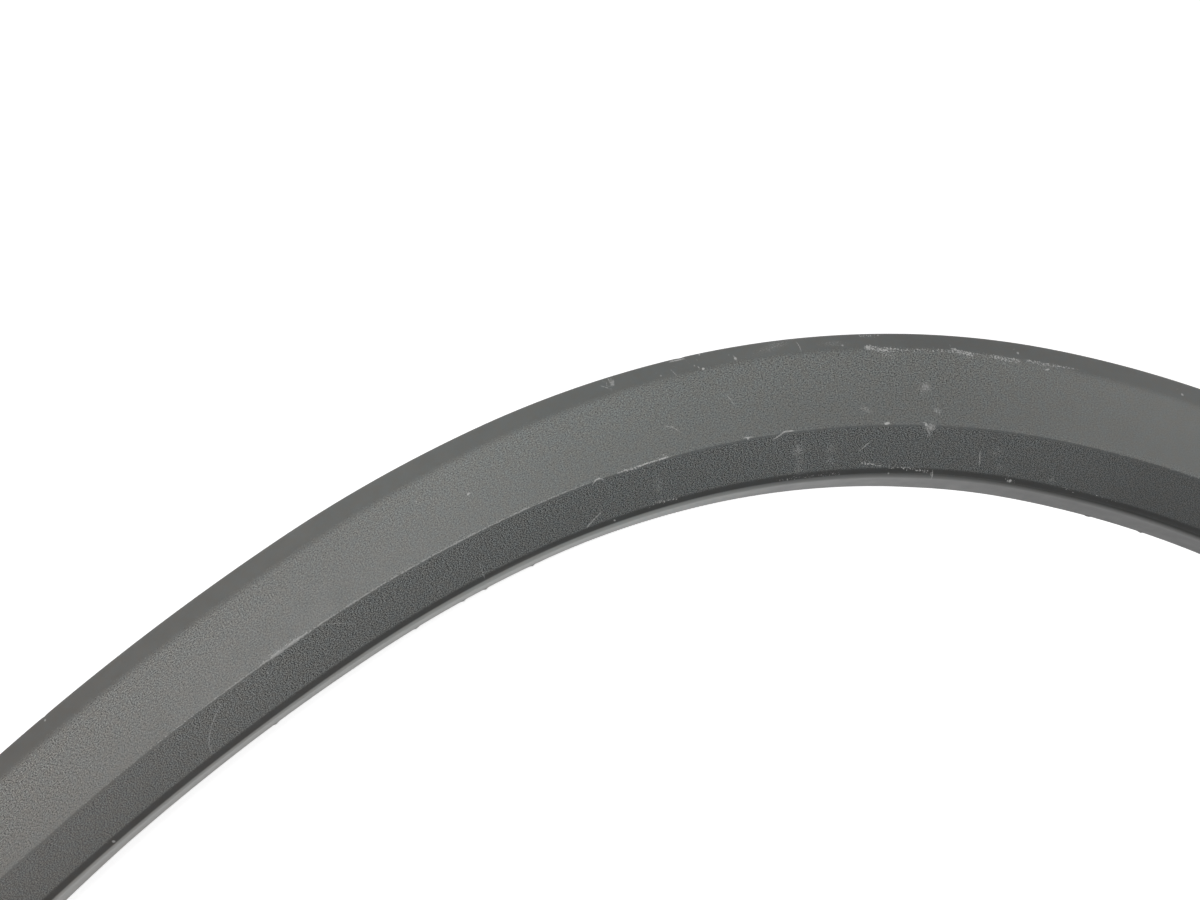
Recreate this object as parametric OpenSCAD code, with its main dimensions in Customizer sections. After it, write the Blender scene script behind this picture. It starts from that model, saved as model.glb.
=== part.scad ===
// Wheel arch trim: one long moulded arch of constant section that lies face up on the
// bottom rim of its return flange. The crown of its outer edge is the start of the path:
// distances along the path are counted from there, and headings are degrees downhill.

/* [Outline of the outer edge] */
// Radius of the first arc left of the crown
left_crown_r = 450; // [420:10:500]
// Sweep of the first arc left of the crown
left_crown_sweep = 14; // [12:1:16]
// Radius of the second arc left of the crown
left_hip_r = 510; // [470:10:560]
// Sweep of the second arc left of the crown
left_hip_sweep = 11; // [9:1:13]
// Radius of the third arc left of the crown
left_brow_r = 690; // [630:10:760]
// Sweep of the third arc left of the crown
left_brow_sweep = 9; // [7:1:11]
// Radius of the long, almost straight stretch on the left
left_reach_r = 1270; // [1100:10:1400]
// Sweep of the long, almost straight stretch on the left
left_reach_sweep = 10; // [8:1:12]
// Radius of the corner above the left leg
left_corner_r = 260; // [230:5:290]
// Sweep of the corner above the left leg
left_corner_sweep = 36; // [32:1:38]
// Radius of the gently curved left leg
left_leg_r = 600; // [500:10:800]
// Sweep of the left leg
left_leg_sweep = 4; // [4:1:6]
// Radius of the first arc right of the crown
right_crown_r = 420; // [400:10:480]
// Sweep of the first arc right of the crown
right_crown_sweep = 11; // [9:1:13]
// Radius of the second arc right of the crown
right_hip_r = 570; // [520:10:620]
// Sweep of the second arc right of the crown
right_hip_sweep = 14; // [12:1:16]
// Radius of the long corner above the right leg
right_corner_r = 400; // [360:10:440]
// Sweep of the long corner above the right leg
right_corner_sweep = 48; // [44:1:50]
// Radius of the gently curved right leg
right_leg_r = 700; // [600:10:900]
// Sweep of the right leg
right_leg_sweep = 10; // [7:1:10]

/* [Section] */
// Height of the outer edge over the flange rim
edge_z = 19; // [17:0.5:21]
// Depth of the land on the outer edge, which lies on the body panel
edge_land = 2.5; // [2:0.1:3]
// Radius on the outer edge
edge_r = 0.8; // [0.4:0.1:1]
// Distance of the shoulder from the outer edge
shoulder_d = 9.5; // [8:0.5:12]
// Height of the shoulder
shoulder_z = 25.5; // [24:0.5:27]
// Radius of the soft shoulder
shoulder_r = 14; // [8:1:18]
// Distance of the ridge from the outer edge
ridge_d = 44.5; // [42:0.5:47]
// Height of the ridge
ridge_z = 36; // [34:0.5:38]
// Radius of the crisp ridge
ridge_r = 1.2; // [0.6:0.1:2]
// Rise of the crowned main face over its chord
face_crown = 0.5; // [0.2:0.1:1]
// Distance of the roll's corner from the outer edge
roll_d = 69.3; // [68:0.1:70.5]
// Height of the roll's corner
roll_z = 19.3; // [18:0.1:21]
// Radius of the roll between the lower band and the flange
roll_r = 6; // [4:0.2:11]
// Distance of the flange rim from the outer edge
flange_d = 73; // [71:0.5:75]
// Wall of the moulding
wall = 2.6; // [2.2:0.1:3]

/* [Ends] */
// Thickness of the wall that closes each end
end_wall = 2.4; // [2:0.1:3]
// Distance of the end wall from the end of the skin
end_recess = 1; // [0.5:0.1:2]
// Height of the end wall's lower edge at the flange
end_wall_z = 9; // [6:0.5:12]
// Width of the screw tab past each end
tab_w = 22; // [18:0.5:26]
// Distance of the tab's middle from the outer edge
tab_d = 30; // [26:0.5:34]
// Reach of the tab's hole past the end
tab_reach = 13; // [12:0.5:16]
// Thickness of the tab
tab_t = 2.4; // [2:0.1:3]
// Diameter of the tab's screw hole
tab_hole = 6.6; // [5:0.1:8]

/* [Liner screws] */
// Diameter of the hole through the flange for a wheel liner screw
liner_hole = 7; // [5.5:0.1:8]
// Height of the liner hole over the flange rim
liner_hole_z = 10; // [8:0.5:12]
// Distance of the liner hole from the end of its leg
liner_hole_inset = 32; // [24:1:36]

/* [Retaining clips] */
// Number of clips along the trim
clip_count = 8; // [6:1:9]
// Distance of the outermost clips from the ends
clip_margin = 68; // [60:1:76]
// Distance of the clips from the outer edge
clip_d = 28; // [26:0.5:30]
// Diameter of the clip's head inside its tower
clip_head_dia = 15; // [13:0.5:17]
// Thickness of the clip's head
clip_head_t = 1.6; // [1.2:0.1:2]
// Diameter of the clip's neck
clip_neck_dia = 7; // [6:0.1:8]
// Diameter of the clip's flange under the tower
clip_flange_dia = 17; // [15:0.5:19]
// Thickness of the clip's flange
clip_flange_t = 1.2; // [1:0.1:1.5]
// Diameter of the clip's shank
clip_shank_dia = 5; // [4.5:0.1:6]
// Diameter over the clip's barbs
clip_barb_dia = 8.4; // [7.5:0.1:9]
// Number of barbs on the shank
clip_barbs = 3; // [2:1:4]
// Length of one barb along the shank
clip_barb_pitch = 2.8; // [2.4:0.1:3]
// Length of the clip's pointed tip
clip_tip = 2; // [1.5:0.1:2.5]
// Diameter of the blunt end of the tip
clip_tip_dia = 1.6; // [1:0.1:2]
// Chamfer on the rim of the clip's head
clip_chamfer = 0.4; // [0.2:0.1:0.6]
// Outer diameter of the soft sealing ring on the clip
seal_dia = 15; // [14:0.5:17]
// Thickness of the sealing ring
seal_t = 2; // [1.5:0.1:2.5]

/* [Clip towers] */
// Outer width of a tower along the trim
tower_w = 24; // [22:0.5:28]
// Wall of a tower
tower_wall = 1.8; // [1.5:0.1:2.2]
// Thickness of the tower's slotted floor
tower_floor = 2; // [1.6:0.1:2.4]
// Half depth of the tower towards the outer edge
tower_back = 11; // [10:0.5:13]
// Half depth of the tower towards the flange
tower_front = 11; // [10:0.5:13]
// Clearance between a clip and what it sits in
fit_gap = 0.3; // [0.2:0.05:0.4]

/* [Ribs and locators] */
// Thickness of a gusset between face and flange
gusset_t = 1.6; // [1.2:0.1:2]
// Number of gussets between two clips, besides those where two arcs meet
gussets_per_bay = 2; // [1:1:3]
// Least room between two gussets along the trim
gusset_room = 20; // [15:1:25]
// Distance of a gusset's foot from the outer edge
gusset_d = 50; // [46:0.5:54]
// Height of a gusset's tip on the flange
gusset_z = 7; // [5:0.5:10]
// Diameter of a locator pin
pin_dia = 6; // [5:0.1:7]
// Diameter of the boss that carries a locator pin
boss_dia = 10; // [9:0.1:12]
// Height of a locator pin's tip over the flange rim
pin_tip_z = 6; // [4:0.5:9]
// Chamfer on a locator pin's tip
pin_chamfer = 1; // [0.5:0.1:1.5]

/* [Hidden] */
$fn = 180;
small_fn = 48;
// How far a rib, a tower or an end wall runs into the skin that carries it
seat = 1.1;
// Share of a barb's length over which it swells to its full width
barb_lead = 0.35;
// Excess of a cutter past the face that it opens
past = 1;
// Colours
moulding_grey = [0.25, 0.26, 0.26];
nylon_white = [0.86, 0.85, 0.80];
seal_grey = [0.16, 0.16, 0.17];

// The height of the body panel that the outer edge lies on
panel_z = edge_z - edge_land;

// Each stretch of the path is an arc, [radius, sweep], counted from the crown
left_path = [
    [left_crown_r, left_crown_sweep], [left_hip_r, left_hip_sweep],
    [left_brow_r, left_brow_sweep], [left_reach_r, left_reach_sweep],
    [left_corner_r, left_corner_sweep], [left_leg_r, left_leg_sweep]
];
right_path = [
    [right_crown_r, right_crown_sweep], [right_hip_r, right_hip_sweep],
    [right_corner_r, right_corner_sweep], [right_leg_r, right_leg_sweep]
];

// Length of an arc, and the point at a distance along it when it starts at [x, y, heading]
function run(arc) = arc[0] * arc[1] * PI / 180;
function ahead(p, arc, far) =
    let (turn = far / arc[0] * 180 / PI)
    [p[0] + arc[0] * (sin(p[2] + turn) - sin(p[2])),
     p[1] - arc[0] * (cos(p[2]) - cos(p[2] + turn)), p[2] + turn];
// Start of stretch number n, and the point at a distance along a path
function start(path, n) =
    n == 0 ? [0, 0, 0] : let (arc = path[n - 1]) ahead(start(path, n - 1), arc, run(arc));
function length_to(path, n) = n == 0 ? 0 : length_to(path, n - 1) + run(path[n - 1]);
function along(path, far, n = 0) =
    far <= run(path[n]) || n == len(path) - 1
    ? ahead(start(path, n), path[n], far)
    : along(path, far - run(path[n]), n + 1);

left_length = length_to(left_path, len(left_path));
right_length = length_to(right_path, len(right_path));
left_end = along(left_path, left_length);
right_end = along(right_path, right_length);

// A point at distance d inwards from the outer edge, for a path point p on the right
function inward(p, d) = [p[0] - d * sin(p[2]), p[1] - d * cos(p[2])];
// Far corners of the ends and of the tabs past them
tab_round = tab_w / 2;
function tab_low(p) =
    let (c = inward(p, tab_d)) c[1] - tab_reach * sin(p[2]) - tab_round;
function end_low(p) = min(inward(p, flange_d)[1], tab_low(p));
max_x = right_end[0];
min_x = -left_end[0];
min_y = min(end_low(left_end), end_low(right_end));
centre_shift = [-(max_x + min_x) / 2, -min_y / 2, 0];

// The outer skin as points [d, z] from the edge to the flange rim.
// A rounded corner is an arc between the two lines that meet in it.
function unit(v) = v / norm(v);
function rounded(a, b, c, r, steps) =
    let (u = unit(a - b), w = unit(c - b), half = acos(u * w) / 2,
         middle = b + unit(u + w) * r / sin(half), back = (90 - half) * 2,
         first = b + u * r / tan(half) - middle)
    [for (i = [0:steps]) let (t = -back * i / steps)
        middle + [first[0] * cos(t) - first[1] * sin(t), first[0] * sin(t) + first[1] * cos(t)]];
edge = [0, edge_z];
shoulder = [shoulder_d, shoulder_z];
ridge = [ridge_d, ridge_z];
roll = [roll_d, roll_z];
rim = [flange_d, 0];
face_normal = unit([-(ridge_z - shoulder_z), ridge_d - shoulder_d]);
function on_face(t) =
    shoulder + (ridge - shoulder) * t + face_normal * face_crown * (1 - pow(2 * t - 1, 2));
face_steps = 4;
face_first = 0.25;
face_last = 0.9;
outer_skin = concat(
    rounded([0, panel_z], edge, shoulder, edge_r, 2),
    rounded(edge, shoulder, on_face(face_first), shoulder_r, 4),
    [for (i = [0:face_steps]) on_face(face_first + (face_last - face_first) * i / face_steps)],
    rounded(on_face(face_last), ridge, roll, ridge_r, 3),
    rounded(ridge, roll, rim, roll_r, 5),
    [rim]
);
// The inner skin: the main corners set back by the wall, then cut off at the rim and the land
function line_cross(a, u, b, w) =
    a + u * ((b[0] - a[0]) * w[1] - (b[1] - a[1]) * w[0]) / (u[0] * w[1] - u[1] * w[0]);
function back_of(a, b) = let (u = unit(b - a)) [u[1], -u[0]] * wall;
function inner_corner(a, b, c) =
    line_cross(a + back_of(a, b), b - a, b + back_of(b, c), c - b);
inner_shoulder = inner_corner(edge, shoulder, ridge);
inner_ridge = inner_corner(shoulder, ridge, roll);
inner_roll = inner_corner(ridge, roll, rim);
flange_slope = (flange_d - roll_d) / roll_z;
flange_foot = flange_d - wall * sqrt(1 + flange_slope * flange_slope);
inner_edge = line_cross([0, panel_z], [1, 0], edge + back_of(edge, shoulder), shoulder - edge);
inner_skin = concat(
    [[flange_foot, 0], inner_roll],
    [inner_ridge, inner_shoulder, inner_edge, [0, panel_z]]
);
// Every arc shares one section, held to hundredths, so that neighbours meet face to face
section = [for (q = concat(outer_skin, inner_skin)) [for (c = q) round(c * 100) / 100]];

// Height of the underside of the face at a distance from the outer edge
function under(d) =
    d < inner_ridge[0]
    ? inner_shoulder[1] + (inner_ridge[1] - inner_shoulder[1])
      * (d - inner_shoulder[0]) / (inner_ridge[0] - inner_shoulder[0])
    : inner_ridge[1] + (inner_roll[1] - inner_ridge[1])
      * (d - inner_ridge[0]) / (inner_roll[0] - inner_ridge[0]);
// Distance of the inner face of the flange from the outer edge at a height
function flange_inside(z) = flange_foot - flange_slope * z;

// Places along the whole trim: negative left of the crown, positive right of it
clip_pitch = (left_length + right_length - 2 * clip_margin) / (clip_count - 1);
function clip_at(i) = -left_length + clip_margin + clip_pitch * (i - 1);
pin_places = [
    (clip_at(2) + clip_at(3)) / 2,
    (clip_at(clip_count - 1) + clip_at(clip_count - 2)) / 2
];
tower_z = panel_z + seal_t + clip_flange_t + fit_gap;
clip_flange_z = panel_z + seal_t;
clip_head_z = tower_z + tower_floor + fit_gap;

// Gussets stand wherever two arcs meet, and evenly in each bay where there is room
function joints_of(path, side) =
    [for (n = [1:len(path) - 1]) side * length_to(path, n)];
arc_joints = concat([0], joints_of(left_path, -1), joints_of(right_path, 1));
bay_places = [
    for (i = [1:clip_count - 1], k = [1:gussets_per_bay])
        clip_at(i) + clip_pitch * k / (gussets_per_bay + 1)
];
function roomy(far) = min([for (j = arc_joints) abs(far - j)]) > gusset_room;
gusset_places = concat(arc_joints, [for (far = bay_places) if (roomy(far)) far]);

function numbered(name) = [for (i = [1:clip_count]) str(name, i)];

// Puts its children at a distance along the trim, with X inwards, Y along the trim to the
// right and Z up
module at(far) {
    p = far < 0 ? along(left_path, -far) : along(right_path, far);
    side = far < 0 ? -1 : 1;
    translate([side * p[0], p[1], 0])
        rotate([0, 0, -90 - side * p[2]])
            children();
}

// Extrudes a shape drawn as [d, z] along the trim, centred on the place where it stands
module web(thickness) {
    translate([0, thickness / 2, 0])
        rotate([90, 0, 0])
            linear_extrude(thickness)
                children();
}

// Moves its children by a whole part, a part in thousandths and the rest, which keeps the
// centres of neighbouring arcs exactly in line
module move_exactly(v) {
    whole = [for (c = v) round(c)];
    fine = [for (c = v - whole) round(c * 1000) / 1000];
    translate(whole)
        translate(fine)
            translate(v - whole - fine)
                children();
}

// One arc of the moulding, starting at p on the right-hand path
module arc_skin(p, arc) {
    move_exactly([p[0] - arc[0] * sin(p[2]), p[1] - arc[0] * cos(p[2]), 0])
        rotate_extrude(angle = arc[1], start = 90 - p[2] - arc[1])
            polygon([for (q = section) [arc[0] - q[0], q[1]]]);
}

module half_skin(path) {
    for (n = [0:len(path) - 1]) arc_skin(start(path, n), path[n]);
}

// The wall that closes an end, with the screw tab that stands out past it
module end_closure() {
    raised = [0, seat];
    translate([0, -end_recess - end_wall / 2, 0])
        web(end_wall)
            polygon([
                inner_edge + raised, inner_shoulder + raised,
                inner_ridge + raised, inner_roll + raised,
                [flange_inside(end_wall_z) + seat, end_wall_z]
            ]);
    difference() {
        translate([0, 0, panel_z])
            linear_extrude(tab_t)
                union() {
                    translate([tab_d - tab_round, -end_recess - end_wall])
                        square([tab_w, end_recess + end_wall + tab_reach]);
                    translate([tab_d, tab_reach])
                        circle(d = tab_w);
                }
        translate([tab_d, tab_reach, 0])
            cylinder(d = tab_hole, h = edge_z + tab_t);
    }
}

// The tower that holds one clip: two cheeks, a back and a floor with a keyhole slot
module tower() {
    half = tower_w / 2 - tower_wall / 2;
    low = clip_d - tower_back;
    high = clip_d + tower_front;
    for (side = [-1, 1])
        translate([0, side * half, 0])
            web(tower_wall)
                polygon([
                    [low, tower_z], [high, tower_z],
                    [high, under(high) + seat], [low, under(low) + seat]
                ]);
    web(tower_w - tower_wall)
        polygon([
            [low, tower_z], [low + tower_wall, tower_z],
            [low + tower_wall, under(low + tower_wall) + seat], [low, under(low) + seat]
        ]);
    difference() {
        translate([low, -half, tower_z])
            cube([high - low, 2 * half, tower_floor]);
        translate([clip_d, 0, tower_z - past]) {
            cylinder(d = clip_neck_dia + 2 * fit_gap, h = tower_floor + 2 * past, $fn = small_fn);
            translate([0, -clip_neck_dia / 2 + fit_gap, 0])
                cube([tower_front + past, clip_neck_dia - 2 * fit_gap, tower_floor + 2 * past]);
        }
    }
}

// A gusset that keeps the flange square to the face
module gusset() {
    web(gusset_t)
        polygon([
            [gusset_d, under(gusset_d) + seat], [inner_roll[0], inner_roll[1] + seat],
            [flange_inside(gusset_z) + seat, gusset_z], [flange_inside(gusset_z), gusset_z]
        ]);
}

// A locator pin on its boss
module locator() {
    translate([clip_d, 0, 0]) {
        intersection() {
            translate([0, 0, panel_z])
                cylinder(d = boss_dia, h = ridge_z, $fn = small_fn);
            translate([-clip_d, 0, 0])
                web(2 * boss_dia)
                    polygon([
                        [clip_d - boss_dia, panel_z], [clip_d + boss_dia, panel_z],
                        [clip_d + boss_dia, under(clip_d + boss_dia) + seat],
                        [clip_d - boss_dia, under(clip_d - boss_dia) + seat]
                    ]);
        }
        translate([0, 0, pin_tip_z + pin_chamfer])
            cylinder(d = pin_dia, h = panel_z - pin_tip_z, $fn = small_fn);
        translate([0, 0, pin_tip_z])
            cylinder(d1 = pin_dia - 2 * pin_chamfer, d2 = pin_dia, h = pin_chamfer, $fn = small_fn);
    }
}

// The cutter for a liner screw's hole, square to the flange
module liner_cutter() {
    lean = atan(flange_slope);
    translate([flange_inside(liner_hole_z), 0, liner_hole_z])
        rotate([0, 90 - lean, 0])
            translate([0, 0, -wall])
                cylinder(d = liner_hole, h = 3 * wall, $fn = small_fn);
}

module arch_moulding() {
    color(moulding_grey)
        translate(centre_shift)
            difference() {
                union() {
                    half_skin(right_path);
                    mirror([1, 0, 0]) half_skin(left_path);
                    at(right_length) end_closure();
                    mirror([1, 0, 0])
                        at_left_end() end_closure();
                    for (i = [1:clip_count]) at(clip_at(i)) tower();
                    for (far = gusset_places) at(far) gusset();
                    for (far = pin_places) at(far) locator();
                }
                at(right_length - liner_hole_inset) liner_cutter();
                at(-left_length + liner_hole_inset) liner_cutter();
            }
}

// The left end, seen from the mirrored side so that its tab also points away from the crown
module at_left_end() {
    translate([left_end[0], left_end[1], 0])
        rotate([0, 0, -90 - left_end[2]])
            children();
}

// The profile of a clip as [radius, height over the body panel]
function barb(i) =
    let (top = -clip_barb_pitch * i)
    [[clip_shank_dia / 2, top], [clip_barb_dia / 2, top - clip_barb_pitch * barb_lead]];
clip_shank_end = -clip_barb_pitch * clip_barbs;
clip_profile = concat(
    [[0, clip_head_z + clip_head_t - panel_z]],
    [[clip_head_dia / 2 - clip_chamfer, clip_head_z + clip_head_t - panel_z]],
    [[clip_head_dia / 2, clip_head_z + clip_head_t - clip_chamfer - panel_z]],
    [[clip_head_dia / 2, clip_head_z - panel_z]],
    [[clip_neck_dia / 2, clip_head_z - panel_z], [clip_neck_dia / 2, seal_t + clip_flange_t]],
    [[clip_flange_dia / 2, seal_t + clip_flange_t], [clip_flange_dia / 2, seal_t]],
    [[clip_shank_dia / 2, seal_t]],
    [for (i = [0:clip_barbs - 1], q = barb(i)) q],
    [[clip_shank_dia / 2, clip_shank_end], [clip_tip_dia / 2, clip_shank_end - clip_tip]],
    [[0, clip_shank_end - clip_tip]]
);

module retaining_clip(i) {
    color(nylon_white)
        translate(centre_shift)
            at(clip_at(i))
                translate([clip_d, 0, panel_z])
                    rotate_extrude($fn = small_fn)
                        polygon(clip_profile);
}

module clip_seal(i) {
    color(seal_grey)
        translate(centre_shift)
            at(clip_at(i))
                translate([clip_d, 0, panel_z])
                    difference() {
                        cylinder(d = seal_dia, h = seal_t, $fn = small_fn);
                        translate([0, 0, -past])
                            cylinder(d = clip_shank_dia + fit_gap, h = seal_t + 2 * past, $fn = small_fn);
                    }
}

arch_moulding();
for (i = [1:clip_count]) {
    retaining_clip(i);
    clip_seal(i);
}
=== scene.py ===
"""A wheel arch trim lying face up on a white table: its grained skin, its moulded ribs and
towers, its push-in clips and their seals."""

import math
from types import SimpleNamespace

import bmesh
import bpy
import numpy as np
from bpy.props import FloatProperty, FloatVectorProperty, IntProperty, PointerProperty
from mathutils import Matrix, Vector
from mathutils.geometry import tessellate_polygon


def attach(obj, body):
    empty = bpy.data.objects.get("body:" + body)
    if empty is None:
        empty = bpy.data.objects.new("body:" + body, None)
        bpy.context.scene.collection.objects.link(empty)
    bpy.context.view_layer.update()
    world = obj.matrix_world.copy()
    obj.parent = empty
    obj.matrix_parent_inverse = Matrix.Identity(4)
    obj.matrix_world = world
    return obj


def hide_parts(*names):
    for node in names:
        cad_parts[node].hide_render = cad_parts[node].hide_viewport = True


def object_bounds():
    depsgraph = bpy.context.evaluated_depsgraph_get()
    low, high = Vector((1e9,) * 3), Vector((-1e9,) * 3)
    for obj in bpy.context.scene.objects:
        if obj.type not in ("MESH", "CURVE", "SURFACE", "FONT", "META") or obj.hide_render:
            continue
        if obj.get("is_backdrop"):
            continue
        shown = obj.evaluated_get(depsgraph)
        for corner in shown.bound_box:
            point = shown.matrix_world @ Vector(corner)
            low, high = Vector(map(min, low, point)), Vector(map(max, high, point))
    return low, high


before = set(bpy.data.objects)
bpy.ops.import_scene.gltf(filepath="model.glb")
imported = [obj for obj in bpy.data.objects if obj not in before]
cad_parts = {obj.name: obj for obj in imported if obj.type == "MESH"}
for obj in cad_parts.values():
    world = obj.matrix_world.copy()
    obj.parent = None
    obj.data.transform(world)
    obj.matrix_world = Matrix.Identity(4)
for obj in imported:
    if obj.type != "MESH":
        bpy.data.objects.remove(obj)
cad_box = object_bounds()

bl_info = {
    "name": "Wheel arch trim",
    "version": (1, 0, 0),
    "blender": (4, 5, 0),
    "location": "3D View > Sidebar > Arch trim",
    "description": "Builds a used wheel arch trim with its clips and seals",
    "category": "Object",
}

MM = 0.001


def length(name, description, default):
    """A length that a user may change, in metres."""
    return FloatProperty(
        name=name, description=description, default=default, min=0.0, unit="LENGTH",
        precision=5,
    )


def lengths(name, description, default):
    """A row of lengths in metres."""
    return FloatVectorProperty(
        name=name, description=description, default=default, size=len(default),
        unit="LENGTH", precision=5,
    )


def angles(name, description, degrees):
    """A row of angles, given in degrees."""
    return FloatVectorProperty(
        name=name, description=description, size=len(degrees), unit="ROTATION",
        default=[math.radians(a) for a in degrees],
    )


def share(name, description, default):
    """A plain number that a user may change."""
    return FloatProperty(name=name, description=description, default=default, min=0.0)


def colour(name, description, default):
    """A linear colour."""
    return FloatVectorProperty(
        name=name, description=description, default=default, size=3, subtype="COLOR",
        min=0.0, max=1.0,
    )


class ArchPath(bpy.types.PropertyGroup):
    """The outer edge of the trim as tangent arcs on both sides of its crown."""

    crown: lengths("Crown", "Place of the outer edge's highest point", (0.0487252, 0.224525))
    left_radii: lengths(
        "Left radii", "Radii of the arcs left of the crown", (0.45, 0.51, 0.69, 1.27, 0.26, 0.6)
    )
    left_sweeps: angles("Left sweeps", "Sweeps of the arcs left of the crown", (14, 11, 9, 10, 36, 4))
    right_radii: lengths(
        "Right radii", "Radii of the arcs right of the crown", (0.42, 0.57, 0.4, 0.7)
    )
    right_sweeps: angles("Right sweeps", "Sweeps of the arcs right of the crown", (11, 14, 48, 10))
    close: lengths("Close part", "Stretch of the trim that is seen close", (-0.484, 0.164))
    fine_step: length("Fine step", "Distance between rings on that stretch", 0.0014)
    plain_step: length("Plain step", "Distance between rings elsewhere", 0.006)


class ArchSection(bpy.types.PropertyGroup):
    """The moulded section, from the outer edge to the rim of the return flange."""

    edge_z: length("Edge height", "Height of the outer edge over the rim", 0.019)
    edge_land: length("Edge land", "Depth of the land that lies on the body panel", 0.0025)
    edge_r: length("Edge radius", "Radius on the outer edge", 0.0008)
    shoulder_d: length("Shoulder distance", "Distance of the shoulder from the edge", 0.0095)
    shoulder_z: length("Shoulder height", "Height of the shoulder over the rim", 0.0255)
    shoulder_r: length("Shoulder radius", "Radius of the soft shoulder", 0.014)
    ridge_d: length("Ridge distance", "Distance of the ridge from the edge", 0.0445)
    ridge_z: length("Ridge height", "Height of the ridge over the rim", 0.036)
    ridge_r: length("Ridge radius", "Radius of the crisp ridge", 0.0012)
    face_crown: length("Face crown", "Rise of the main face over its chord", 0.0005)
    roll_d: length("Roll distance", "Distance of the roll's corner from the edge", 0.0693)
    roll_z: length("Roll height", "Height of the roll's corner over the rim", 0.0193)
    roll_r: length("Roll radius", "Radius between the lower band and the flange", 0.006)
    flange_d: length("Rim distance", "Distance of the rim from the outer edge", 0.073)
    rim_r: length("Rim radius", "Radius on the corners of the rim", 0.0004)
    inner_r: length("Inner radius", "Radius on the corners of the inner side", 0.001)
    wall: length("Wall", "Wall of the moulding", 0.0026)
    seat: length("Seat", "How far ribs run into the skin", 0.0015)


class ArchRibs(bpy.types.PropertyGroup):
    """Towers, gussets, pins and end closures on the hidden side."""

    clip_count: IntProperty(name="Clips", description="Number of clips", default=8, min=2)
    clip_margin: length("Clip margin", "Distance of the outermost clips from the ends", 0.068)
    clip_d: length("Clip distance", "Distance of the clips from the outer edge", 0.028)
    tower_w: length("Tower width", "Outer width of a tower along the trim", 0.024)
    tower_wall: length("Tower wall", "Wall of a tower", 0.0018)
    tower_floor: length("Tower floor", "Thickness of the slotted floor", 0.002)
    tower_half: length("Tower half depth", "Reach of a tower either side of its clip", 0.011)
    gusset_t: length("Gusset thickness", "Thickness of a gusset", 0.0016)
    gusset_d: length("Gusset foot", "Distance of a gusset's foot from the edge", 0.05)
    gusset_z: length("Gusset tip", "Height of a gusset's tip on the flange", 0.007)
    gusset_room: length("Gusset room", "Least room between two gussets", 0.02)
    pin_dia: length("Pin diameter", "Diameter of a locator pin", 0.006)
    pin_tip_z: length("Pin tip", "Height of a pin's tip over the rim", 0.006)
    boss_dia: length("Boss diameter", "Diameter of a pin's boss", 0.01)
    end_wall: length("End wall", "Thickness of the wall that closes an end", 0.0024)
    end_recess: length("End recess", "Distance of that wall from the end", 0.001)
    end_wall_z: length("End wall height", "Height of its lower edge at the flange", 0.009)
    tab_w: length("Tab width", "Width of the screw tab past an end", 0.022)
    tab_d: length("Tab distance", "Distance of the tab's middle from the edge", 0.03)
    tab_reach: length("Tab reach", "Reach of the tab's hole past the end", 0.013)
    tab_t: length("Tab thickness", "Thickness of the tab", 0.0024)
    tab_hole: length("Tab hole", "Diameter of the tab's hole", 0.0066)
    liner_hole: length("Liner hole", "Diameter of the hole through the flange", 0.007)
    liner_z: length("Liner hole height", "Height of that hole over the rim", 0.01)
    liner_inset: length("Liner hole inset", "Distance of that hole from the end", 0.032)
    chamfer: length("Chamfer", "Chamfer on ribs, towers and tabs", 0.00025)


class ArchClips(bpy.types.PropertyGroup):
    """The push-in clips and their seals."""

    gap: length("Clearance", "Clearance between a clip and its tower", 0.0003)
    head_dia: length("Head diameter", "Diameter of the head inside the tower", 0.015)
    head_t: length("Head thickness", "Thickness of the head", 0.0016)
    neck_dia: length("Neck diameter", "Diameter of the neck", 0.007)
    flange_dia: length("Flange diameter", "Diameter of the flange under the tower", 0.017)
    flange_t: length("Flange thickness", "Thickness of that flange", 0.0012)
    shank_dia: length("Shank diameter", "Diameter of the shank", 0.005)
    barb_dia: length("Barb diameter", "Diameter over the barbs", 0.0084)
    barbs: IntProperty(name="Barbs", description="Number of barbs", default=3, min=1)
    barb_pitch: length("Barb pitch", "Length of one barb", 0.0028)
    tip: length("Tip", "Length of the tip", 0.002)
    tip_dia: length("Tip diameter", "Diameter of the blunt end", 0.0016)
    seal_dia: length("Seal diameter", "Outer diameter of the seal", 0.015)
    seal_t: length("Seal thickness", "Thickness of the seal", 0.002)


class ArchFinish(bpy.types.PropertyGroup):
    """Colours and grain of the used plastic, the nylon and the rubber, with painted shade for the roll and
    a painted highlight for the outer edge.
    """

    face: colour("Main face", "Sand-grained main face", (0.128, 0.130, 0.127))
    band: colour("Lower band", "Leather-grained lower band", (0.098, 0.101, 0.101))
    smooth: colour("Bevel", "Smooth bevel", (0.112, 0.113, 0.111))
    # The outer edge's colour is a painted highlight, lighter than the bevel, where light catches the
    # edge's rounding
    edge: colour("Outer edge", "Rubbed outer edge", (0.135, 0.135, 0.133))
    # The roll's colour is painted shade, dark where the lower band bends down into the flange
    roll: colour("Roll", "Smooth roll under the lower band", (0.047, 0.047, 0.047))
    flange: colour("Flange", "Smooth return flange", (0.115, 0.116, 0.114))
    left_hue: colour("Left hue", "Cast of the skin on the left", (1.005, 0.965, 0.925))
    middle_hue: colour("Middle hue", "Cast of the skin in the middle", (0.965, 1.0, 0.985))
    right_hue: colour("Right hue", "Cast of the skin on the right", (0.995, 1.0, 0.99))
    back: colour("Hidden side", "Ungrained hidden side", (0.075, 0.076, 0.078))
    scuff: colour("Scuffs", "Whitened plastic in scuffs and scratches", (0.46, 0.46, 0.45))
    nylon: colour("Clip nylon", "Natural nylon of the clips", (0.66, 0.64, 0.56))
    rubber: colour("Seal rubber", "Soft rings on the clips", (0.022, 0.022, 0.024))
    sand_height: length("Sand height", "Height of the fine grain", 0.00005)
    leather_height: length("Leather height", "Height of the leather grain", 0.00009)


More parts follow.
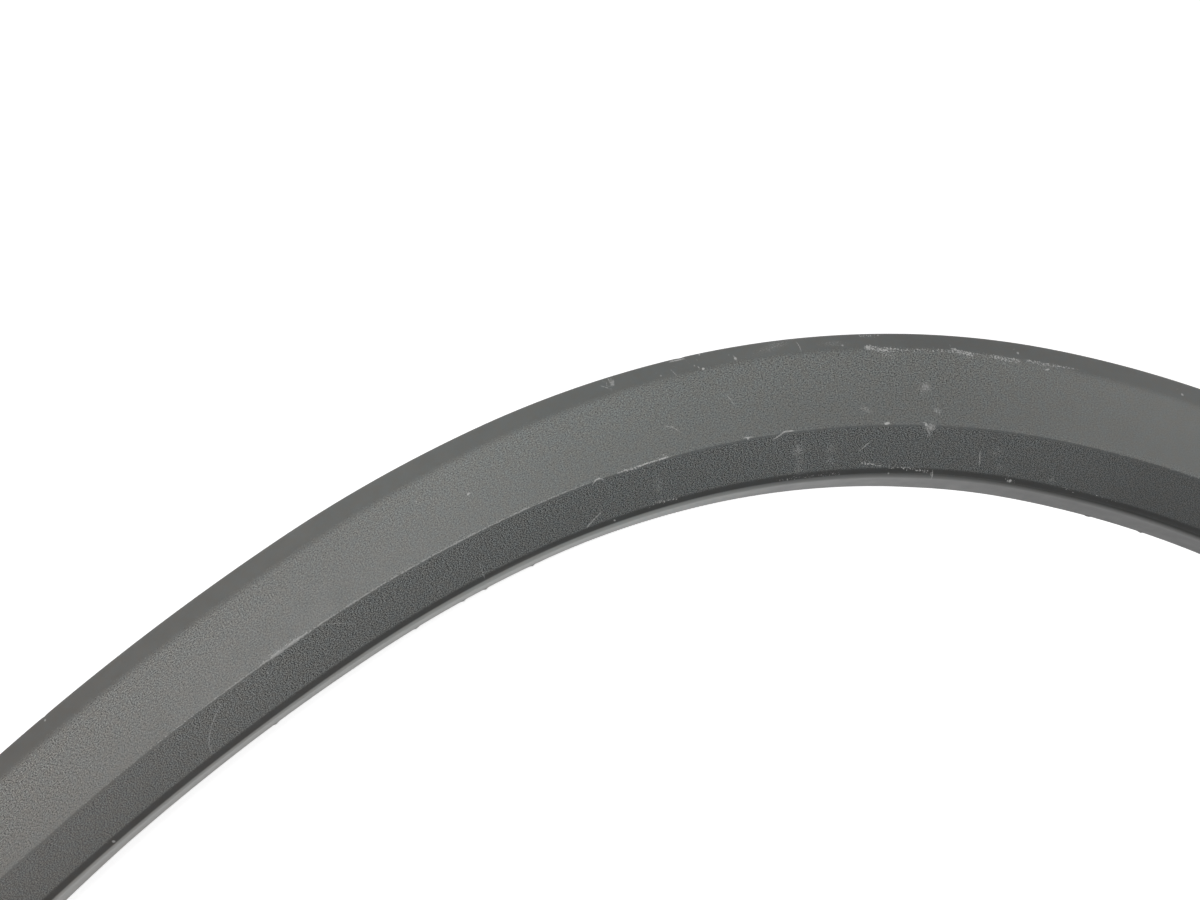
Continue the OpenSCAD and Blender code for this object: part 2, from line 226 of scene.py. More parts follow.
class ArchStage(bpy.types.PropertyGroup):
    """The table, the light and the camera."""

    table: colour("Table", "Colour of the white table", (0.8, 0.8, 0.8))
    table_half: length("Table half", "Half the side of the square table top", 6.0)
    sky: share("Sky", "Strength of the soft light from all round", 0.66)
    key: share("Key", "Power of the large lamp on the left, in watts", 34.0)
    key_size: length("Key size", "Diameter of that lamp", 1.2)
    key_place: lengths("Key place", "Where that lamp hangs", (-1.6, 0.5, 2.2))
    key_aim: lengths("Key aim", "Where that lamp points", (-0.2, 0.05, 0.0))
    table_glow: share("Table glow", "How much brighter than lit the camera sees the table", 0.64)
    table_shine: share("Table shine", "How much brighter than lit the plastic mirrors it", 0.42)
    flag: colour("Flag", "Colour of the dark cards that stand round the table", (0.03, 0.03, 0.03))
    flag_ring: length("Flag ring", "Radius of the ring of cards", 1.7)
    flag_high: length("Flag height", "Height of the cards", 1.0)
    camera_place: lengths("Camera place", "Where the camera stands", (-0.101885, 0.172545, 0.455))
    camera_turn: angles("Camera turn", "Tilts of the camera off the plumb line", (-0.597, -1.196, 0.054))
    camera_lens: FloatProperty(name="Lens", description="Focal length in mm", default=27.18)


# How the real moulding departs from one constant section: distance along the trim, then
# the shifts of shoulder, ridge and rim away from the outer edge, all in millimetres
WARP = (
    (-560, 0.0, 0.0, 0.0),
    (-480, 1.2, 1.0, -0.8),
    (-390, 1.2, 0.3, -0.6),
    (-300, 1.3, 0.3, 0.0),
    (-180, -0.1, 0.1, 0.4),
    (-60, -1.6, -0.2, 1.6),
    (20, -1.5, -0.4, 2.2),
    (110, 0.6, -0.2, 1.4),
    (200, 0.0, 0.0, 0.2),
    (300, 0.0, 0.0, 0.0),
)

# Tone of the strips along the trim: distance in millimetres, then bevel, face, lower band and
# flange, as shares of their own colours, and the depths of the sand grain and the leather. The
# four tones are painted light and shade, lighter or darker along the trim with how the light
# falls; the flange's tone is partly a painted reflection of the white table, strong on the left
# and faint on the right.
TONES = (
    (-500, 1.04, 1.19, 1.80, 2.6, 1.5, 0.75),
    (-380, 1.17, 1.14, 1.82, 2.6, 1.3, 1.0),
    (-300, 1.24, 1.14, 1.56, 2.7, 1.0, 1.15),
    (-220, 1.28, 1.28, 1.42, 2.9, 0.9, 1.2),
    (-140, 1.27, 1.24, 1.29, 2.4, 0.9, 1.1),
    (-60, 1.33, 1.18, 1.30, 1.10, 1.0, 1.2),
    (20, 1.08, 1.14, 1.19, 0.70, 1.15, 1.15),
    (90, 1.31, 1.34, 1.05, 0.34, 0.48, 0.8),
    (140, 1.41, 1.44, 0.89, 0.30, 0.15, 0.6),
    (200, 1.42, 1.44, 0.88, 0.30, 0.15, 0.6),
    (240, 1.15, 1.15, 1.10, 0.90, 0.8, 0.8),
)

# Smudges on the skin in millimetres: distance along the trim, distance in from the outer
# edge, half length, half width, turn in degrees from the trim's direction, and strength
SMUDGES = (
    (12.5, 26.5, 2.2, 2.0, 0, 0.75),
    (10.0, 29.0, 2.2, 1.0, 50, 0.4),
    (-19.0, 37.1, 3.0, 1.6, 20, 0.5),
    (17.5, 37.6, 1.8, 1.2, 30, 0.75),
    (14.0, 45.6, 2.6, 1.6, 0, 1.0),
    (14.6, 48.6, 0.9, 1.6, 0, 0.7),
    (-55.0, 53.5, 3.0, 2.6, 20, 0.6),
    (-54.0, 61.0, 2.4, 5.0, 0, 0.42),
    (-37.0, 54.5, 3.0, 2.6, 0, 0.4),
    (-36.5, 60.5, 2.8, 2.0, 20, 0.45),
    (-132.0, 56.5, 2.6, 4.5, 0, 0.4),
    (53.5, 54.5, 3.0, 2.6, 0, 0.34),
    (59.0, 61.0, 3.0, 1.6, 0, 0.38),
    (89.5, 62.5, 2.4, 1.4, 0, 0.4),
    (-59.0, 3.0, 9.0, 1.5, -12, 0.42),
    (-31.0, 4.4, 7.0, 1.2, 3, 0.4),
    (-340.0, 44.0, 12.0, 0.7, 0, 0.5),
)

# Crumbly rubs, speckled where the grain has caught: strength, half width, then the points
# along the trim and in from the outer edge, all in millimetres
RUBS = (
    (0.85, 1.5, (-14.5, 7.0), (-9.0, 8.2), (-2.0, 8.7)),
    (0.62, 1.0, (-1.5, 8.6), (6.0, 8.8), (14.0, 8.4), (27.5, 8.2)),
    (0.85, 1.3, (27.5, 7.6), (30.5, 8.5), (36.5, 9.0)),
    (0.6, 1.0, (37.0, 9.0), (46.0, 9.2)),
    (0.78, 1.3, (47.0, 8.9), (54.0, 9.4), (60.0, 9.5)),
    (0.68, 1.2, (64.5, 8.8), (74.0, 9.0), (80.0, 8.7)),
    (0.55, 1.0, (80.0, 8.7), (89.0, 8.3)),
    (0.6, 0.8, (-16.5, 1.0), (-6.5, 1.1)),
    (0.75, 0.75, (-20.0, 61.8), (-9.0, 63.7), (0.5, 64.8), (10.0, 65.4), (19.0, 66.2), (23.0, 68.0)),
    (0.6, 0.9, (-139.5, 65.4), (-136.0, 63.9), (-130.0, 65.0), (-124.0, 65.5)),
    (0.6, 0.6, (97.0, 65.0), (101.0, 65.2), (104.0, 65.8)),
    (0.6, 0.6, (116.5, 65.2), (121.0, 65.5), (128.5, 65.4)),
    (0.6, 1.0, (64.5, 66.2), (70.5, 67.0)),
    (0.5, 0.9, (-66.0, 67.0), (-30.0, 66.8)),
    (0.85, 0.48, (-151.0, 44.5), (-141.0, 44.7), (-133.5, 44.5), (-124.0, 44.3)),
    (0.55, 0.42, (-350.0, 44.4), (-322.0, 44.4)),
)

# Specks in millimetres: distance along the trim, distance in, radius and strength
SPECKS = (
    (-95.0, 8.0, 0.62, 1.0), (-98.5, 5.6, 0.34, 0.7), (-78.5, 5.9, 0.62, 0.9), (60.5, 5.3, 0.6, 0.8),
    (144.0, 6.6, 0.6, 0.85), (75.0, 11.6, 0.8, 0.9), (-26.0, 5.6, 0.5, 0.8), (-115.5, 6.6, 0.4, 0.5),
    (-456.0, 2.0, 0.5, 0.6), (-223.8, 27.0, 0.5, 0.9), (-222.6, 26.8, 0.45, 0.9),
    (-248.0, 18.7, 0.5, 0.55), (-9.6, 43.8, 0.75, 0.95), (-8.2, 43.6, 0.55, 0.9), (-469.5, 67.0, 0.7, 0.7),
    (11.4, 44.3, 0.7, 0.9), (68.0, 66.7, 0.8, 0.7), (-2.5, 67.6, 0.5, 0.6), (-160.0, 66.2, 0.5, 0.7),
    (-94.6, 0.6, 0.5, 0.7), (28.8, 7.2, 0.7, 0.9), (-352.0, 49.5, 0.45, 0.6), (-81.5, 44.2, 0.6, 0.9),
)

# Scratches in millimetres: strength, half width, then the points along the trim and in from
# the outer edge, from the bevel over the face and the ridge to the lower band
SCRAPES = (
    (0.95, 0.34, (-108.5, 0.9), (-105.5, 0.8), (-102.5, 1.0)),
    (0.6, 0.2, (-109.8, 5.4), (-108.5, 7.8)),
    (0.6, 0.22, (-140.2, 0.8), (-139.6, 3.9), (-140.2, 6.2)),
    (0.6, 0.2, (-144.0, 3.5), (-141.8, 5.1)),
    (0.6, 0.2, (-138.0, 2.6), (-138.6, 5.5)),
    (0.75, 0.26, (-78.8, 5.0), (-78.3, 6.6)),
    (0.65, 0.22, (-47.2, 2.6), (-46.6, 4.4), (-46.6, 6.2)),
    (0.5, 0.18, (-87.0, 22.8), (-85.6, 25.0), (-84.8, 27.4)),
    (0.55, 0.2, (-120.0, 30.4), (-117.0, 31.8), (-114.8, 34.0)),
    (0.85, 0.26, (-164.2, 45.6), (-162.6, 44.4), (-160.4, 44.0), (-159.0, 45.0)),
    (0.6, 0.2, (-134.0, 44.5), (-126.0, 44.3), (-123.6, 44.1)),
    (0.8, 0.26, (-83.2, 43.7), (-79.8, 43.9)),
    (0.85, 0.26, (-67.8, 46.6), (-65.5, 45.4), (-62.0, 43.8), (-58.0, 43.9)),
    (0.4, 0.22, (-378.5, 48.2), (-388.0, 52.4), (-395.0, 56.6), (-400.0, 60.6), (-402.0, 63.8)),
    (0.4, 0.2, (-317.5, 44.8), (-311.0, 48.6), (-305.0, 53.4)),
    (0.4, 0.2, (-235.0, 59.0), (-237.0, 66.0)),
    (0.75, 0.22, (-175.0, 64.4), (-170.2, 62.0), (-165.6, 60.2)),
    (0.75, 0.24, (-21.0, 56.0), (-17.4, 53.0)),
    (0.65, 0.22, (44.8, 55.4), (46.0, 58.0), (47.2, 61.0)),
    (0.65, 0.24, (22.6, 66.4), (23.6, 69.3)),
)

# How worn the ridge is, from 0 to 1, at distances along the trim in millimetres
RIDGE_WEAR = (
    (-470, 0.0), (-430, 0.12), (-390, 0.3), (-352, 0.45), (-345, 0.9), (-328, 0.9), (-320, 0.45),
    (-260, 0.45), (-235, 0.5), (-215, 0.42), (-175, 0.36), (-158, 0.05), (-151, 0.05), (-148, 0.3),
    (-124, 0.3), (-121, 0.0), (40, 0.0),
)

# Small burrs that the mould left on the rim, in millimetres: places along the trim, half
# length and height, and how far up the flange they reach
RIM_BURRS = (-378.5, -287.5, -257.5, -243.0, -214.0, 128.5, 161.0)
BURR_HALF, BURR_HIGH, BURR_REACH = 0.9, 0.5, 0.9

# Nicks in the outer edge, in millimetres: places along the trim, half length and depth, and
# how far in from the edge they reach
EDGE_NICKS = (-104.0, -456.0)
NICK_HALF, NICK_DEEP, NICK_REACH = 1.3, 0.25, 1.0

# Where the strips of the skin meet, in metres over the skin. The face's tone and the painted
# highlight on the outer edge start from the outer edge, the lower band and its shade from the
# middle of the ridge, the fade of the leather from the end of the band, and the flange from the
# end of the roll.
FACE_TONE = (0.0085, 0.013)
RIM_EDGE = (0.0002, 0.0014)
BAND_EDGE = (-0.0012, -0.0008)
BAND_SHADE = (0.006, 0.026)
LEATHER_FADE = (-0.0026, -0.0004)
FLANGE_START = (-0.0041, -0.0028)
# How much darker the lower band is towards the roll
BAND_DARKER = 0.1
# The pale sheen where the roll ends, a painted highlight: its middle from the end of the roll, and its
# half width
SHEEN_PLACE, SHEEN_HALF = -0.0014, 0.0017
# Distance along the trim, then how much sooner the flange starts, both in millimetres, and
# how strong the painted sheen is
FLANGE_DRIFT = (
    (-380, 0.0, 0.0),
    (-220, 1.0, 0.0),
    (-60, 0.4, 0.0),
    (-50, 0.475, 0.0),
    (20, 1.0, 0.4),
    (90, 0.8, 1.3),
    (140, 1.2, 2.1),
    (200, 1.2, 2.1),
    (240, 1.2, 0.0),
)


def turn_out(mesh, smooth_below):
    """Turns all faces outwards and shades them smooth up to an angle in degrees."""
    bm = bmesh.new()
    bm.from_mesh(mesh)
    bmesh.ops.recalc_face_normals(bm, faces=bm.faces)
    bm.to_mesh(mesh)
    bm.free()
    mesh.shade_smooth()
    mesh.set_sharp_from_angle(angle=math.radians(smooth_below))


def in_scene(name, mesh, material):
    """An object in the scene with its mesh and material."""
    mesh.materials.append(material)
    piece = bpy.data.objects.new(name, mesh)
    bpy.context.scene.collection.objects.link(piece)
    return piece


class Shape:
    """Collects vertices and faces in metres and turns them into one object."""

    def __init__(self):
        self.verts = []
        self.faces = []

    def add(self, verts, faces, place=None):
        """Adds a closed form, moved by the matrix place."""
        first = len(self.verts)
        for v in verts:
            self.verts.append(tuple(place @ Vector(v)) if place else tuple(v))
        flip = place is not None and place.determinant() < 0
        for f in faces:
            ring = [first + i for i in f]
            self.faces.append(ring[::-1] if flip else ring)

    def build(self, name, material, smooth_below=35):
        """The object, shaded smooth up to an angle in degrees."""
        mesh = bpy.data.meshes.new(name)
        mesh.from_pydata(self.verts, [], self.faces)
        turn_out(mesh, smooth_below)
        return in_scene(name, mesh, material)


def moved_in(loop, distance):
    """A loop of points in the plane, drawn in by a distance on its left-hand side."""
    made = []
    for i, here in enumerate(loop):
        before = (Vector(here) - Vector(loop[i - 1])).normalized()
        after = (Vector(loop[(i + 1) % len(loop)]) - Vector(here)).normalized()
        side = Vector((-before.y - after.y, before.x + after.x))
        half = max(0.3, side.length / 2)
        made.append(tuple(Vector(here) + side.normalized() * distance / half))
    return made


def plate(loops, low, high, chamfer):
    """A plate of constant thickness with holes. The first loop is its outline, counter-clockwise,
    and the others are holes, clockwise."""
    verts, faces = [], []
    rings = []
    for loop in loops:
        inner = moved_in(loop, chamfer)
        levels = ((inner, low), (loop, low + chamfer), (loop, high - chamfer), (inner, high))
        starts = []
        for points, z in levels:
            starts.append(len(verts))
            verts.extend((p[0], p[1], z) for p in points)
        rings.append((starts, len(loop)))
        for a, b in zip(starts, starts[1:]):
            for i in range(len(loop)):
                j = (i + 1) % len(loop)
                faces.append((a + i, a + j, b + j, b + i))
    for level in (0, -1):
        order = [starts[level] + i for starts, count in rings for i in range(count)]
        flat = [
            [Vector((verts[starts[level] + i][0], verts[starts[level] + i][1], 0)) for i in range(count)]
            for starts, count in rings
        ]
        for triangle in tessellate_polygon(flat):
            faces.append(tuple(order[i] for i in triangle))
    return verts, faces


def upright(outline, thickness, chamfer):
    """A plate that is as thick on both sides of the plane it is drawn in."""
    return plate([outline], -thickness / 2, thickness / 2, chamfer)


def lathe(profile, segments=48):
    """A turned form from (radius, height) points, closed on its axis at both ends."""
    verts, faces, rows = [], [], []
    for radius, height in profile:
        if radius < 1e-7:
            rows.append([len(verts)])
            verts.append((0, 0, height))
            continue
        rows.append([len(verts) + i for i in range(segments)])
        for i in range(segments):
            turn = 2 * math.pi * i / segments
            verts.append((radius * math.cos(turn), radius * math.sin(turn), height))
    for a, b in zip(rows, rows[1:]):
        for i in range(segments):
            j = (i + 1) % segments
            quad = [a[i % len(a)], a[j % len(a)], b[j % len(b)], b[i % len(b)]]
            ring = list(dict.fromkeys(quad))
            if len(ring) > 2:
                faces.append(tuple(ring))
    return verts, faces


def ring_of(profile, segments=48):
    """A turned ring from a closed loop of (radius, height) points."""
    verts, faces = [], []
    count = len(profile)
    for i in range(segments):
        turn = 2 * math.pi * i / segments
        verts.extend((r * math.cos(turn), r * math.sin(turn), z) for r, z in profile)
    for i in range(segments):
        a, b = i * count, (i + 1) % segments * count
        for k in range(count):
            n = (k + 1) % count
            faces.append((a + k, b + k, b + n, a + n))
    return verts, faces


def arc_points(middle, radius, first, sweep, steps):
    """Points of an arc that starts at the angle first, with both its ends."""
    turns = [first + sweep * i / steps for i in range(steps + 1)]
    return [(middle[0] + radius * math.cos(t), middle[1] + radius * math.sin(t)) for t in turns]


def edge_places(path, far):
    """Points of the outer edge and headings downhill, at signed distances from the crown."""
    far = np.atleast_1d(np.asarray(far, float))
    side = np.where(far < 0, -1.0, 1.0)
    x, y, heading = np.zeros(far.shape), np.zeros(far.shape), np.zeros(far.shape)
    for sign, radii, sweeps in (
        (-1.0, path.left_radii, path.left_sweeps),
        (1.0, path.right_radii, path.right_sweeps),
    ):
        rest = np.where(side == sign, np.abs(far), 0.0)
        for radius, sweep in zip(radii, sweeps):
            step = np.minimum(rest, radius * sweep)
            turned = heading + step / radius
            x += radius * (np.sin(turned) - np.sin(heading))
            y -= radius * (np.cos(heading) - np.cos(turned))
            heading = turned
            rest = rest - step
    return path.crown[0] + side * x, path.crown[1] + y, side * heading


def reach_of(radii, sweeps):
    """Length of a row of arcs."""
    return sum(r * a for r, a in zip(radii, sweeps))


def frame_at(path, far, away=1.0):
    """The matrix that puts a rib at a distance along the trim: X inwards, Y along, Z up.
    With away at -1, Y runs the other way."""
    x, y, heading = (v[0] for v in edge_places(path, far))
    inward = Vector((-math.sin(heading), -math.cos(heading), 0))
    onward = Vector((math.cos(heading), -math.sin(heading), 0)) * away
    place = Matrix.Identity(4)
    place.col[0][:3], place.col[1][:3] = inward, onward
    place.translation = (x, y, 0)
    return place


# Turns a plate drawn as (d, z) so that its thickness runs along the trim
STAND = Matrix(((1, 0, 0, 0), (0, 0, 1, 0), (0, 1, 0, 0), (0, 0, 0, 1)))


def corner(a, b, c, radius, steps):
    """The arc that rounds the corner b between a and c."""
    a, b, c = Vector(a), Vector(b), Vector(c)
    u, w = (a - b).normalized(), (c - b).normalized()
    half = u.angle(w) / 2
    middle = b + (u + w).normalized() * radius / math.sin(half)
    start, stop = b + u * radius / math.tan(half), b + w * radius / math.tan(half)
    first, last = start - middle, stop - middle
    turn = first.angle_signed(last)
    made = []
    for i in range(steps + 1):
        t = -turn * i / steps
        made.append(
            (
                middle.x + first.x * math.cos(t) - first.y * math.sin(t),
                middle.y + first.x * math.sin(t) + first.y * math.cos(t),
            )
        )
    return made


def between(a, b, steps):
    """Points inside a straight stretch, without its ends."""
    return [
        (a[0] + (b[0] - a[0]) * i / steps, a[1] + (b[1] - a[1]) * i / steps)
        for i in range(1, steps)
    ]


class Section:
    """The moulded section as points (d, z), with the corners that ribs lean on."""

    def __init__(self, sec):
        self.sec = sec
        edge = (0.0, sec.edge_z)
        shoulder = (sec.shoulder_d, sec.shoulder_z)
        ridge = (sec.ridge_d, sec.ridge_z)
        roll = (sec.roll_d, sec.roll_z)
        rim = (sec.flange_d, 0.0)
        self.panel_z = sec.edge_z - sec.edge_land
        self.lean = (sec.flange_d - sec.roll_d) / sec.roll_z
        self.foot = sec.flange_d - sec.wall * math.hypot(1, self.lean)
        self.inner = self.inner_corners(edge, shoulder, ridge, roll, rim)
        outer, zones = [], []

        def put(points, zone):
            outer.extend(points)
            zones.extend([zone] * len(points))

        def face(t):
            rise = sec.face_crown * (1 - (2 * t - 1) ** 2)
            normal = Vector((shoulder[1] - ridge[1], ridge[0] - shoulder[0])).normalized()
            spot = Vector(shoulder).lerp(Vector(ridge), t) + normal * rise
            return tuple(spot)

        crowned = np.linspace(0.25, 0.9, 23)
        low_rim = corner(roll, rim, (self.foot, 0.0), sec.rim_r, 3)
        put([(0.0, self.panel_z)], "land")
        put(corner((0.0, self.panel_z), edge, shoulder, sec.edge_r, 5), "edge")
        soft = corner(edge, shoulder, face(crowned[0]), sec.shoulder_r, 8)
        put(between(outer[-1], soft[0], 8), "bevel")
        put(soft, "shoulder")
        put([face(t) for t in crowned], "face")
        crisp = corner(face(crowned[-1]), ridge, roll, sec.ridge_r, 7)
        put(crisp, "ridge")
        bend = corner(ridge, roll, rim, sec.roll_r, 14)
        put(between(crisp[-1], bend[0], 20), "band")
        put(bend, "roll")
        put(between(bend[-1], low_rim[0], 12), "lip")
        put(low_rim, "rim")
        inside = self.inner_side(rim)
        zones += ["inside"] * len(inside)
        self.points = np.array(outer + inside)
        self.zones = zones
        self.over = self.run(outer)
        self.over = np.concatenate([self.over, self.over[-1] + self.run(inside)])
        self.over -= self.over[1]

    @staticmethod
    def run(points):
        """Distance walked along a row of points."""
        p = np.array(points)
        return np.concatenate([[0.0], np.cumsum(np.hypot(*np.diff(p, axis=0).T))])

    def inner_side(self, rim):
        """Points of the inner side, from the rim back to the outer edge."""
        bends = [(self.foot, 0.0)] + self.inner[::-1]
        points = corner(rim, bends[0], bends[1], self.sec.rim_r, 3)
        for before, here, after in zip(bends, bends[1:], bends[2:]):
            points += between(points[-1], here, 3)
            points += corner(before, here, after, self.sec.inner_r, 3)
        return points + between(points[-1], bends[-1], 3) + [bends[-1]]

    def inner_corners(self, edge, shoulder, ridge, roll, rim):
        """Corners of the inner side: edge, shoulder, ridge, roll."""
        wall = self.sec.wall

        def back(a, b):
            u = (Vector(b) - Vector(a)).normalized()
            return Vector((u.y, -u.x)) * wall

        def cross(a, u, b, w):
            gap = Vector(b) - Vector(a)
            t = (gap.x * w.y - gap.y * w.x) / (u.x * w.y - u.y * w.x)
            return Vector(a) + u * t

        def met(a, b, c):
            u, w = Vector(b) - Vector(a), Vector(c) - Vector(b)
            return cross(Vector(a) + back(a, b), u, Vector(b) + back(b, c), w)

        u = Vector(shoulder) - Vector(edge)
        low = cross(Vector((0, self.panel_z)), Vector((1, 0)), Vector(edge) + back(edge, shoulder), u)
        found = (low, met(edge, shoulder, ridge), met(shoulder, ridge, roll), met(ridge, roll, rim))
        return [tuple(v) for v in found]

    def last_of(self, zone):
        """Distance over the skin to the end of a zone."""
        return float(self.over[len(self.zones) - 1 - self.zones[::-1].index(zone)])

    def middle_of(self, zone):
        """Distance over the skin to the middle of a zone."""
        return float(self.over[self.zones.index(zone)] + self.last_of(zone)) / 2

    def under(self, d):
        """Height of the underside of the face at a distance from the outer edge."""
        (_, a, b, c) = self.inner
        low, high = (a, b) if d < b[0] else (b, c)
        return low[1] + (high[1] - low[1]) * (d - low[0]) / (high[0] - low[0])

    def flange_inside(self, z):
        """Distance of the flange's inner face from the outer edge at a height."""
        return self.foot - self.lean * z


def rib_places(path, ribs):
    """How far the trim reaches both ways, and distances along it of clips, pins and gussets."""
    left = reach_of(path.left_radii, path.left_sweeps)
    right = reach_of(path.right_radii, path.right_sweeps)
    pitch = (left + right - 2 * ribs.clip_margin) / (ribs.clip_count - 1)
    clips = [-left + ribs.clip_margin + pitch * i for i in range(ribs.clip_count)]
    pins = [(clips[1] + clips[2]) / 2, (clips[-2] + clips[-3]) / 2]
    joints = [0.0]
    for sign, radii, sweeps in (
        (-1, path.left_radii, path.left_sweeps),
        (1, path.right_radii, path.right_sweeps),
    ):
        joints += [sign * reach_of(radii[:n], sweeps[:n]) for n in range(1, len(radii))]
    bays = [c + pitch * k / 3 for c in clips[:-1] for k in (1, 2)]
    roomy = [b for b in bays if min(abs(b - j) for j in joints) > ribs.gusset_room]
    return SimpleNamespace(left=left, right=right, clips=clips, pins=pins, gussets=joints + roomy)


def clip_seats(scene, section):
    """The number of each clip, and the matrix that puts it on the trim, panel side up."""
    path, ribs = scene.arch_path, scene.arch_ribs
    on_land = Matrix.Translation((ribs.clip_d, 0, section.panel_z))
    for number, far in enumerate(rib_places(path, ribs).clips, 1):
        yield number, frame_at(path, far) @ on_land


def smooth_step(x, low, high):
    """0 below low, 1 above high, smooth between."""
    t = np.clip((x - low) / (high - low), 0, 1)
    return t * t * (3 - 2 * t)


def bell(x, middle, half):
    """1 in the middle, falling off to both sides."""
    return np.exp(-(((x - middle) / half) ** 2))


def columns(table, along):
    """The columns of a table by distance in millimetres, read off along the trim."""
    rows = np.array(table)
    return [np.interp(along / MM, rows[:, 0], rows[:, n]) for n in range(1, rows.shape[1])]


def warped(section, along, d, z):
    """The section's distances from the outer edge, with the moulding's own departures."""
    sec = section.sec
    shoulder, ridge, rim = (shift * MM for shift in columns(WARP, along))
    near_shoulder = np.interp(d, (0, sec.shoulder_d, sec.ridge_d), (0, 1, 0))
    near_ridge = np.interp(d, (sec.shoulder_d, sec.ridge_d, sec.roll_d), (0, 1, 0))
    near_rim = np.where(d > sec.ridge_d + 0.01, np.clip(1 - z / sec.roll_z, 0, 1), 0)
    return d + shoulder * near_shoulder + ridge * near_ridge + rim * near_rim


def smudge_field(along, inward):
    """How smudged the skin is at distances along the trim and in from its outer edge."""
    worn = np.zeros(along.shape)
    for s, d, half_length, half_width, turn, strength in SMUDGES:
        x, y = along / MM - s, inward / MM - d
        near = (np.abs(x) < 30) & (np.abs(y) < 20)
        c, n = math.cos(math.radians(turn)), math.sin(math.radians(turn))
        a = (x[near] * c + y[near] * n) / half_length
        b = (y[near] * c - x[near] * n) / half_width
        worn[near] = np.maximum(worn[near], strength * np.exp(-0.7 * (a * a + b * b)))
    return worn


def legs(rows):
    """Each straight leg of rows of strength, half width and points, with its first and last."""
    for strength, half_width, *points in rows:
        for n, (a, b) in enumerate(zip(points, points[1:])):
            yield strength, half_width, a, b, n == 0, n == len(points) - 2


def beside(along, inward, a, b):
    """Distances walked along a leg and across it, and the leg's length, in millimetres."""
    ux, uy = b[0] - a[0], b[1] - a[1]
    size = math.hypot(ux, uy)
    x, y = along / MM - a[0], inward / MM - a[1]
    return (x * ux + y * uy) / size, (x * uy - y * ux) / size, size


def rub_field(along, inward):
    """How rubbed the grain is along the crumbly rubs."""
    worn = np.zeros(along.shape)
    for strength, half_width, a, b, *_ in legs(RUBS):
        walked, across, size = beside(along, inward, a, b)
        past = np.maximum(np.maximum(-walked, walked - size), 0)
        here = strength * np.exp(-0.8 * ((across ** 2 + past ** 2) / half_width ** 2) ** 2)
        worn = np.maximum(worn, here)
    return worn


def scrape_field(along, inward):
    """Signed distance to the nearest scratch in millimetres, its half width and strength."""
    side = np.full(along.shape, 4.0)
    width = np.full(along.shape, 0.3)
    depth = np.zeros(along.shape)
    for strength, half_width, a, b, first, last in legs(SCRAPES):
        walked, across, size = beside(along, inward, a, b)
        here = (walked >= (-2.0 if first else -0.7)) & (walked <= size + (2.0 if last else 0.7))
        here &= np.abs(across) < np.minimum(4.0, np.abs(side))
        side[here] = across[here]
        width[here] = half_width
        fade = 1 - smooth_step(np.abs(across), 1.9, 3.4)
        if first:
            fade = fade * smooth_step(walked, -1.2, 0.5)
        if last:
            fade = fade * (1 - smooth_step(walked, size - 0.5, size + 1.2))
        depth[here] = (strength * fade)[here]
    return side, width, depth


def speck_field(along, inward):
    """Signed distances to the nearest speck, along and across, with its radius and strength."""
    walked = np.full(along.shape, 9.0)
    across = np.full(along.shape, 9.0)
    radius, depth = np.zeros(along.shape), np.zeros(along.shape)
    for s, d, size, strength in SPECKS:
        x, y = along / MM - s, inward / MM - d
        here = (np.hypot(x, y) < np.hypot(walked, across)) & (np.hypot(x, y) < 3.5)
        walked[here], across[here] = x[here], y[here]
        radius[here], depth[here] = size, strength
    return walked, across, radius, depth


def point_values(mesh, **rows):
    """Stores numbers on the vertices, each row under its own name."""
    for name, values in rows.items():
        layer = mesh.attributes.new(name, "FLOAT", "POINT")
        layer.data.foreach_set("value", np.ascontiguousarray(values, np.float32))


def put(tree, kind, settings=None, sockets=None):
    """Adds a node, sets it up and feeds its sockets with numbers or other sockets."""
    node = tree.nodes.new("ShaderNode" + kind)
    for key, value in (settings or {}).items():
        setattr(node, key, value)
    for key, value in (sockets or {}).items():
        if isinstance(value, bpy.types.NodeSocket):
            tree.links.new(value, node.inputs[key])
        else:
            node.inputs[key].default_value = value
    return node


def calc(tree, operation, a, b=0.0, c=0.0):
    """One step of arithmetic on numbers or sockets."""
    return put(tree, "Math", {"operation": operation}, {0: a, 1: b, 2: c}).outputs[0]


def minus(tree, a, b):
    """a less b."""
    return calc(tree, "SUBTRACT", a, b)


def times(tree, first, *others):
    """The product of numbers or sockets."""
    for other in others:
        first = calc(tree, "MULTIPLY", first, other)
    return first


def times_plus(tree, a, b, c):
    """a times b, plus c."""
    return calc(tree, "MULTIPLY_ADD", a, b, c)


def largest(tree, first, *others):
    """The largest of some sockets."""
    for other in others:
        first = calc(tree, "MAXIMUM", first, other)
    return first


def noise(tree, place, scale, detail=2.0, rough=0.5, distort=0.0):
    """Cloudy noise from 0 to 1; scale is in lumps to a unit of place."""
    sockets = {"Vector": place, "Scale": scale, "Detail": detail, "Roughness": rough,
               "Distortion": distort}
    return put(tree, "TexNoise", None, sockets).outputs[0]


def stretched(tree, place, along, over):
    """A place on the skin, scaled along and over the trim."""
    settings = {"operation": "MULTIPLY"}
    return put(tree, "VectorMath", settings, {0: place, 1: (along, over, 1.0)}).outputs[0]


def steep(tree, value, low, high, to_low=0.0, to_high=1.0):
    """value from low..high to to_low..to_high, held at the ends and smooth between."""
    sockets = {"Value": value, "From Min": low, "From Max": high, "To Min": to_low,
               "To Max": to_high}
    return put(tree, "MapRange", {"interpolation_type": "SMOOTHSTEP"}, sockets).outputs[0]


def mixed(tree, factor, a, b, kind="MIX"):
    """A mix of two colours."""
    sockets = {0: factor, 6: a, 7: b}
    return put(tree, "Mix", {"data_type": "RGBA", "blend_type": kind}, sockets).outputs[2]


def blend(tree, factor, a, b):
    """A mix of two numbers."""
    return put(tree, "Mix", {"data_type": "FLOAT"}, {0: factor, 2: a, 3: b}).outputs[0]


